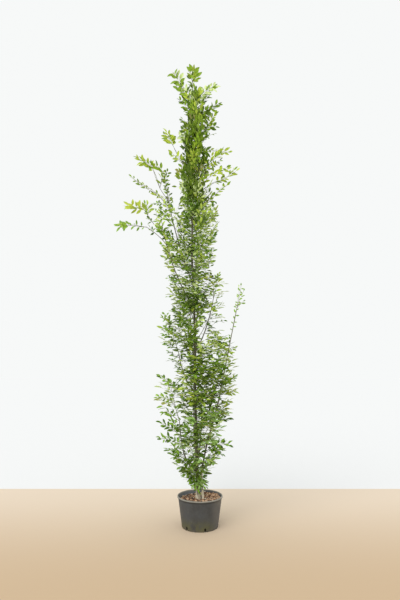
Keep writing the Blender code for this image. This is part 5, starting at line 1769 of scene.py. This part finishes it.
def leaf_blades(rng, feet, ways, normals, lengths):
    """Leaf blades: point (s, t) = s along the midrib, t from -1 to 1 across it. The rows sweep
    forward with the side veins, every second row is raised and toothed at the margin, the two
    halves fold up from the midrib and the tip bends down."""
    count = len(lengths)
    lengths = lengths[:, None, None]
    s = np.linspace(0, 1, BLADE_STRIPS + 1)[1:-1]
    t = np.array(BLADE_ACROSS)
    rows, columns = len(s), len(t)
    parity = np.where(np.arange(rows) % 2 == 0, 1.0, -1.0)
    wide = settings("crown").leaf_width / 2 * half_width(s)[:, None] * t[None]
    wide = wide * np.where(np.abs(t) == 1, 1 + BLADE_TEETH * parity[:, None], 1.0)
    ahead = s[:, None] + BLADE_SWEEP * np.abs(wide) * (1 - s[:, None])
    ripple = BLADE_RIPPLE * parity[:, None] * np.abs(t)[None] * half_width(s)[:, None]
    fold = rng.uniform(0.12, 0.42, (count, 1, 1))
    droop = rng.uniform(0.02, 0.22, (count, 1, 1))
    twist = rng.normal(0, 0.22, (count, 1, 1))
    cup = rng.normal(0.0, 0.5, (count, 1, 1))
    x = np.broadcast_to(ahead, (count, rows, columns))
    y = np.broadcast_to(wide, x.shape)
    z = fold * np.abs(y) + cup * y ** 2 + twist * x * y - droop * x ** 2 + ripple
    grid = np.stack([x, y, z], axis=-1).reshape(count, -1, 3)
    foot = np.zeros((count, 1, 3))
    tips = np.concatenate([foot[..., :1] + 1, foot[..., :1], -droop], axis=2)
    local = np.concatenate([grid, foot, tips], axis=1)
    local[..., 0] += STALK
    axes = np.stack([ways, np.cross(normals, ways), normals], axis=1)
    points = feet[:, None] + lengths * np.einsum("nvk,nkj->nvj", local, axes)
    base = rows * columns
    column = np.arange(columns - 1)
    last = base - columns + column
    quads = grid_faces(rows, columns, False)[:, ::-1]
    fan = np.stack([np.full(columns - 1, base), column, column + 1], axis=1)
    end = np.stack([np.full(columns - 1, base + 1), last + 1, last], axis=1)
    faces = [repeated(quads, count, base + 2), repeated(np.concatenate([fan, end]), count, base + 2)]
    line = feet[:, None] + ways[:, None] * lengths * np.array([0, 0.5, 1.1])[None, :, None] * STALK
    line = line - UP * (lengths * np.array([0, STALK_SAG, 0.0])[None, :, None])
    stalks = tubes(line, np.full((count, 3), STALK_RADIUS), 3)
    return joined([(points.reshape(-1, 3), faces), stalks])


# Radius of a foliage stem at its tip, and how far its joints stray
STEM_TIP = 0.0011
STEM_KINK = 0.0016


def stem_tubes(growth, rng):
    """Foliage stems carried on from the boughs and the trunk, with small kinks at their joints."""
    foot, tip = settings("crown").stem_radius, STEM_TIP
    paths = np.stack([growth.stems[name] for name in growth.names if name not in SPRAYED])
    u = np.linspace(0, 1, STEM_RINGS)
    kinks = rng.normal(0, STEM_KINK, paths.shape) * np.minimum(u * 6, 1)[None, :, None]
    radii = foot + (tip - foot) * u[None] ** 0.9
    radii = radii * (1 + 0.10 * (np.arange(STEM_RINGS) % 2)[None]) * np.ones((len(paths), 1))
    return tubes(paths + kinks, radii, 6)


def twig_tubes(lines):
    """Twigs, thinner to the tip, with a bud at the end, those of equal joint count together."""
    shapes = []
    for rings in sorted({len(line) for line, _ in lines}):
        these = [(line, radius) for line, radius in lines if len(line) == rings]
        taper = np.interp(np.linspace(0, 1, rings), (0, 0.85, 1), (1.0, 0.48, 0.62))
        foot = np.array([radius for _, radius in these])
        shapes.append(tubes(np.stack([line for line, _ in these]), foot[:, None] * taper[None], 5))
    return joined(shapes)


# Steps

class HORNBEAM_OT_pot(bpy.types.Operator):
    """Turn the nursery pot with its rolled rim and drain notches"""

    bl_idname = "hornbeam.pot"
    bl_label = "Pot"

    def execute(self, context):
        new_piece("nursery_pot", pot_shape(), plastic_finish(), ("pot",), 34)
        return {"FINISHED"}


class HORNBEAM_OT_mulch(bpy.types.Operator):
    """Fill the pot with soil and strew bark chips over it"""

    bl_idname = "hornbeam.mulch"
    bl_label = "Soil and chips"

    def execute(self, context):
        new_piece("soil_bed", soil_shape(), soil_finish(), ("soil",))
        rng = np.random.default_rng([SEED, 101])
        points, faces = chip_shapes(rng, settings("mulch").chips)
        points = points[kept_chips(points)]
        share = rng.uniform(0, 1, len(points))
        left = np.interp(points.mean(axis=1)[:, 0], (-0.12, -0.02), (0.5, 0.0))
        share = np.where(rng.uniform(0, 1, len(points)) < left, 0.9, share)
        for name, (base, (low, high)) in CHIP_KINDS.items():
            these = points[(share >= low) & (share < high)]
            groups = [repeated(group, len(these), 2 * CHIP_SIDES) for group in faces]
            new_piece(name, (these.reshape(-1, 3), groups), chip_finish(name, base), sharp=0)
        return {"FINISHED"}


class HORNBEAM_OT_bark(bpy.types.Operator):
    """Skin the trunk, the second stem and the boughs with bark"""

    bl_idname = "hornbeam.bark"
    bl_label = "Bark"

    def execute(self, context):
        rng = np.random.default_rng([SEED, 102])
        colours = settings("finishes")
        bark = bark_finish("bark", colours.bark, colours.pale_bark, 90.0, (0.26, 0.42))
        new_piece("trunk_bark", trunk_skin(rng), bark, ("trunk",))
        new_piece("bough_bark", bough_skins(limb_paths(), rng), bark, tuple(BOUGHS))
        pale = bark_finish("stem_bark", colours.bark, colours.pale_bark, 120.0, (0.30, 0.62))
        new_piece("second_stem_bark", second_stem_skin(rng), pale, ("second_stem",))
        return {"FINISHED"}


class HORNBEAM_OT_crown(bpy.types.Operator):
    """Grow the twigs and the leaves of every foliage mass"""

    bl_idname = "hornbeam.crown"
    bl_label = "Twigs and leaves"

    def execute(self, context):
        growth = Growth(limb_paths())
        growth.sprays()
        for index, name in enumerate(growth.names):
            if name not in SPRAYED:
                growth.grow(index)
        growth.fill()
        rng = np.random.default_rng([SEED, 103])
        new_piece("twigs", joined([stem_tubes(growth, rng), twig_tubes(growth.twigs)]), twig_finish())
        replaced = tuple(growth.names)
        for tint in LEAF_TINTS:
            mine = [leaf[1:] for leaf in growth.leaves if leaf[0] == tint]
            finish = leaf_finish(tint)
            for part in range(0, len(mine), LEAVES_IN_PIECE):
                these = mine[part:part + LEAVES_IN_PIECE]
                feet, ways, normals, lengths = (np.array(column) for column in zip(*these))
                normals = unit(normals - ways * (normals * ways).sum(axis=1, keepdims=True))
                name = f"leaves_{tint}_{part // LEAVES_IN_PIECE + 1}"
                new_piece(name, leaf_blades(rng, feet, ways, normals, lengths), finish, replaced)
                replaced = ()
        return {"FINISHED"}


class HORNBEAM_OT_stage(bpy.types.Operator):
    """Set the floor, the soft light and the camera"""

    bl_idname = "hornbeam.stage"
    bl_label = "Stage"

    def execute(self, context):
        stage = settings("stage")
        make_floor(stage)
        scene = context.scene
        world = bpy.data.worlds.new("studio")
        world.use_nodes = True
        world.node_tree.nodes["Background"].inputs["Color"].default_value = colour(stage.backdrop)
        scene.world = world
        lamp = bpy.data.lights.new("key_light", "SUN")
        lamp.energy = stage.sun
        lamp.angle = KEY_WIDTH
        key = bpy.data.objects.new("key_light", lamp)
        key.rotation_euler = (KEY_TILT, 0, KEY_TURN)
        scene.collection.objects.link(key)
        view = bpy.data.cameras.new("camera")
        view.lens = stage.lens
        view.sensor_width = SENSOR
        camera = bpy.data.objects.new("camera", view)
        camera.matrix_world = (Matrix.Translation((0, -VIEW_DISTANCE, VIEW_HEIGHT))
                               @ Matrix.Rotation(math.pi / 2 + VIEW_PITCH, 4, "X"))
        scene.collection.objects.link(camera)
        scene.camera = camera
        scene.view_settings.view_transform = "Standard"
        return {"FINISHED"}


def make_floor(stage):
    """A wide level floor: a plain pale colour in a band round the pot, the backdrop's beyond."""
    corners = [(x * FLOOR_HALF, y * FLOOR_HALF, 0) for x, y in ((-1, -1), (1, -1), (1, 1), (-1, 1))]
    mesh = bpy.data.meshes.new("studio_floor")
    mesh.from_pydata(corners, [], [(0, 1, 2, 3)])
    finish = Finish("floor", 0.9, 0.0)
    bench = finish.bench
    x, y, _ = bench.split(bench.place())
    wide = bench.rise(bench.math("ABSOLUTE", x), *BAND_SIDE)
    deep = bench.times(bench.rise(y, *BAND_BACK), bench.rise(y, *BAND_FRONT))
    mat = bench.blend(bench.rise(y, *BAND_FADE), colour(stage.mat), colour(stage.mat_front))
    sun = stage.sun * math.cos(KEY_TILT) / math.pi
    beyond = [level / (level + sun) for level in stage.backdrop]
    finish.feed("Base Color", bench.blend(bench.times(wide, deep), colour(beyond), mat))
    mesh.materials.append(finish.material)
    floor = bpy.data.objects.new("studio_floor", mesh)
    bpy.context.scene.collection.objects.link(floor)


STEPS = (HORNBEAM_OT_pot, HORNBEAM_OT_mulch, HORNBEAM_OT_bark, HORNBEAM_OT_crown, HORNBEAM_OT_stage)
SETTINGS = {"pot": PotSizes, "mulch": MulchSizes, "limbs": LimbSizes, "crown": CrownSizes,
            "finishes": Finishes, "stage": StageSettings}


class HORNBEAM_PT_sidebar(bpy.types.Panel):
    """Steps and settings of the hornbeam."""

    bl_idname = "HORNBEAM_PT_sidebar"
    bl_label = "Hornbeam"
    bl_space_type = "VIEW_3D"
    bl_region_type = "UI"
    bl_category = "Hornbeam"

    def draw(self, context):
        for step in STEPS:
            self.layout.operator(step.bl_idname, text=step.bl_label)
        for name in SETTINGS:
            box = self.layout.box()
            box.label(text=name.capitalize())
            for key in SETTINGS[name].__annotations__:
                box.prop(settings(name), key)


def register():
    for kind in (*SETTINGS.values(), *STEPS, HORNBEAM_PT_sidebar):
        bpy.utils.register_class(kind)
    for name, kind in SETTINGS.items():
        setattr(bpy.types.Scene, "hornbeam_" + name, PointerProperty(type=kind))


def unregister():
    for name in SETTINGS:
        delattr(bpy.types.Scene, "hornbeam_" + name)
    for kind in (HORNBEAM_PT_sidebar, *reversed(STEPS), *reversed(SETTINGS.values())):
        bpy.utils.unregister_class(kind)


def main():
    register()
    GROUPS.update(make_groups())
    bpy.ops.hornbeam.pot()
    bpy.ops.hornbeam.mulch()
    bpy.ops.hornbeam.bark()
    bpy.ops.hornbeam.crown()
    bpy.ops.hornbeam.stage()


if __name__ == "__main__":
    main()
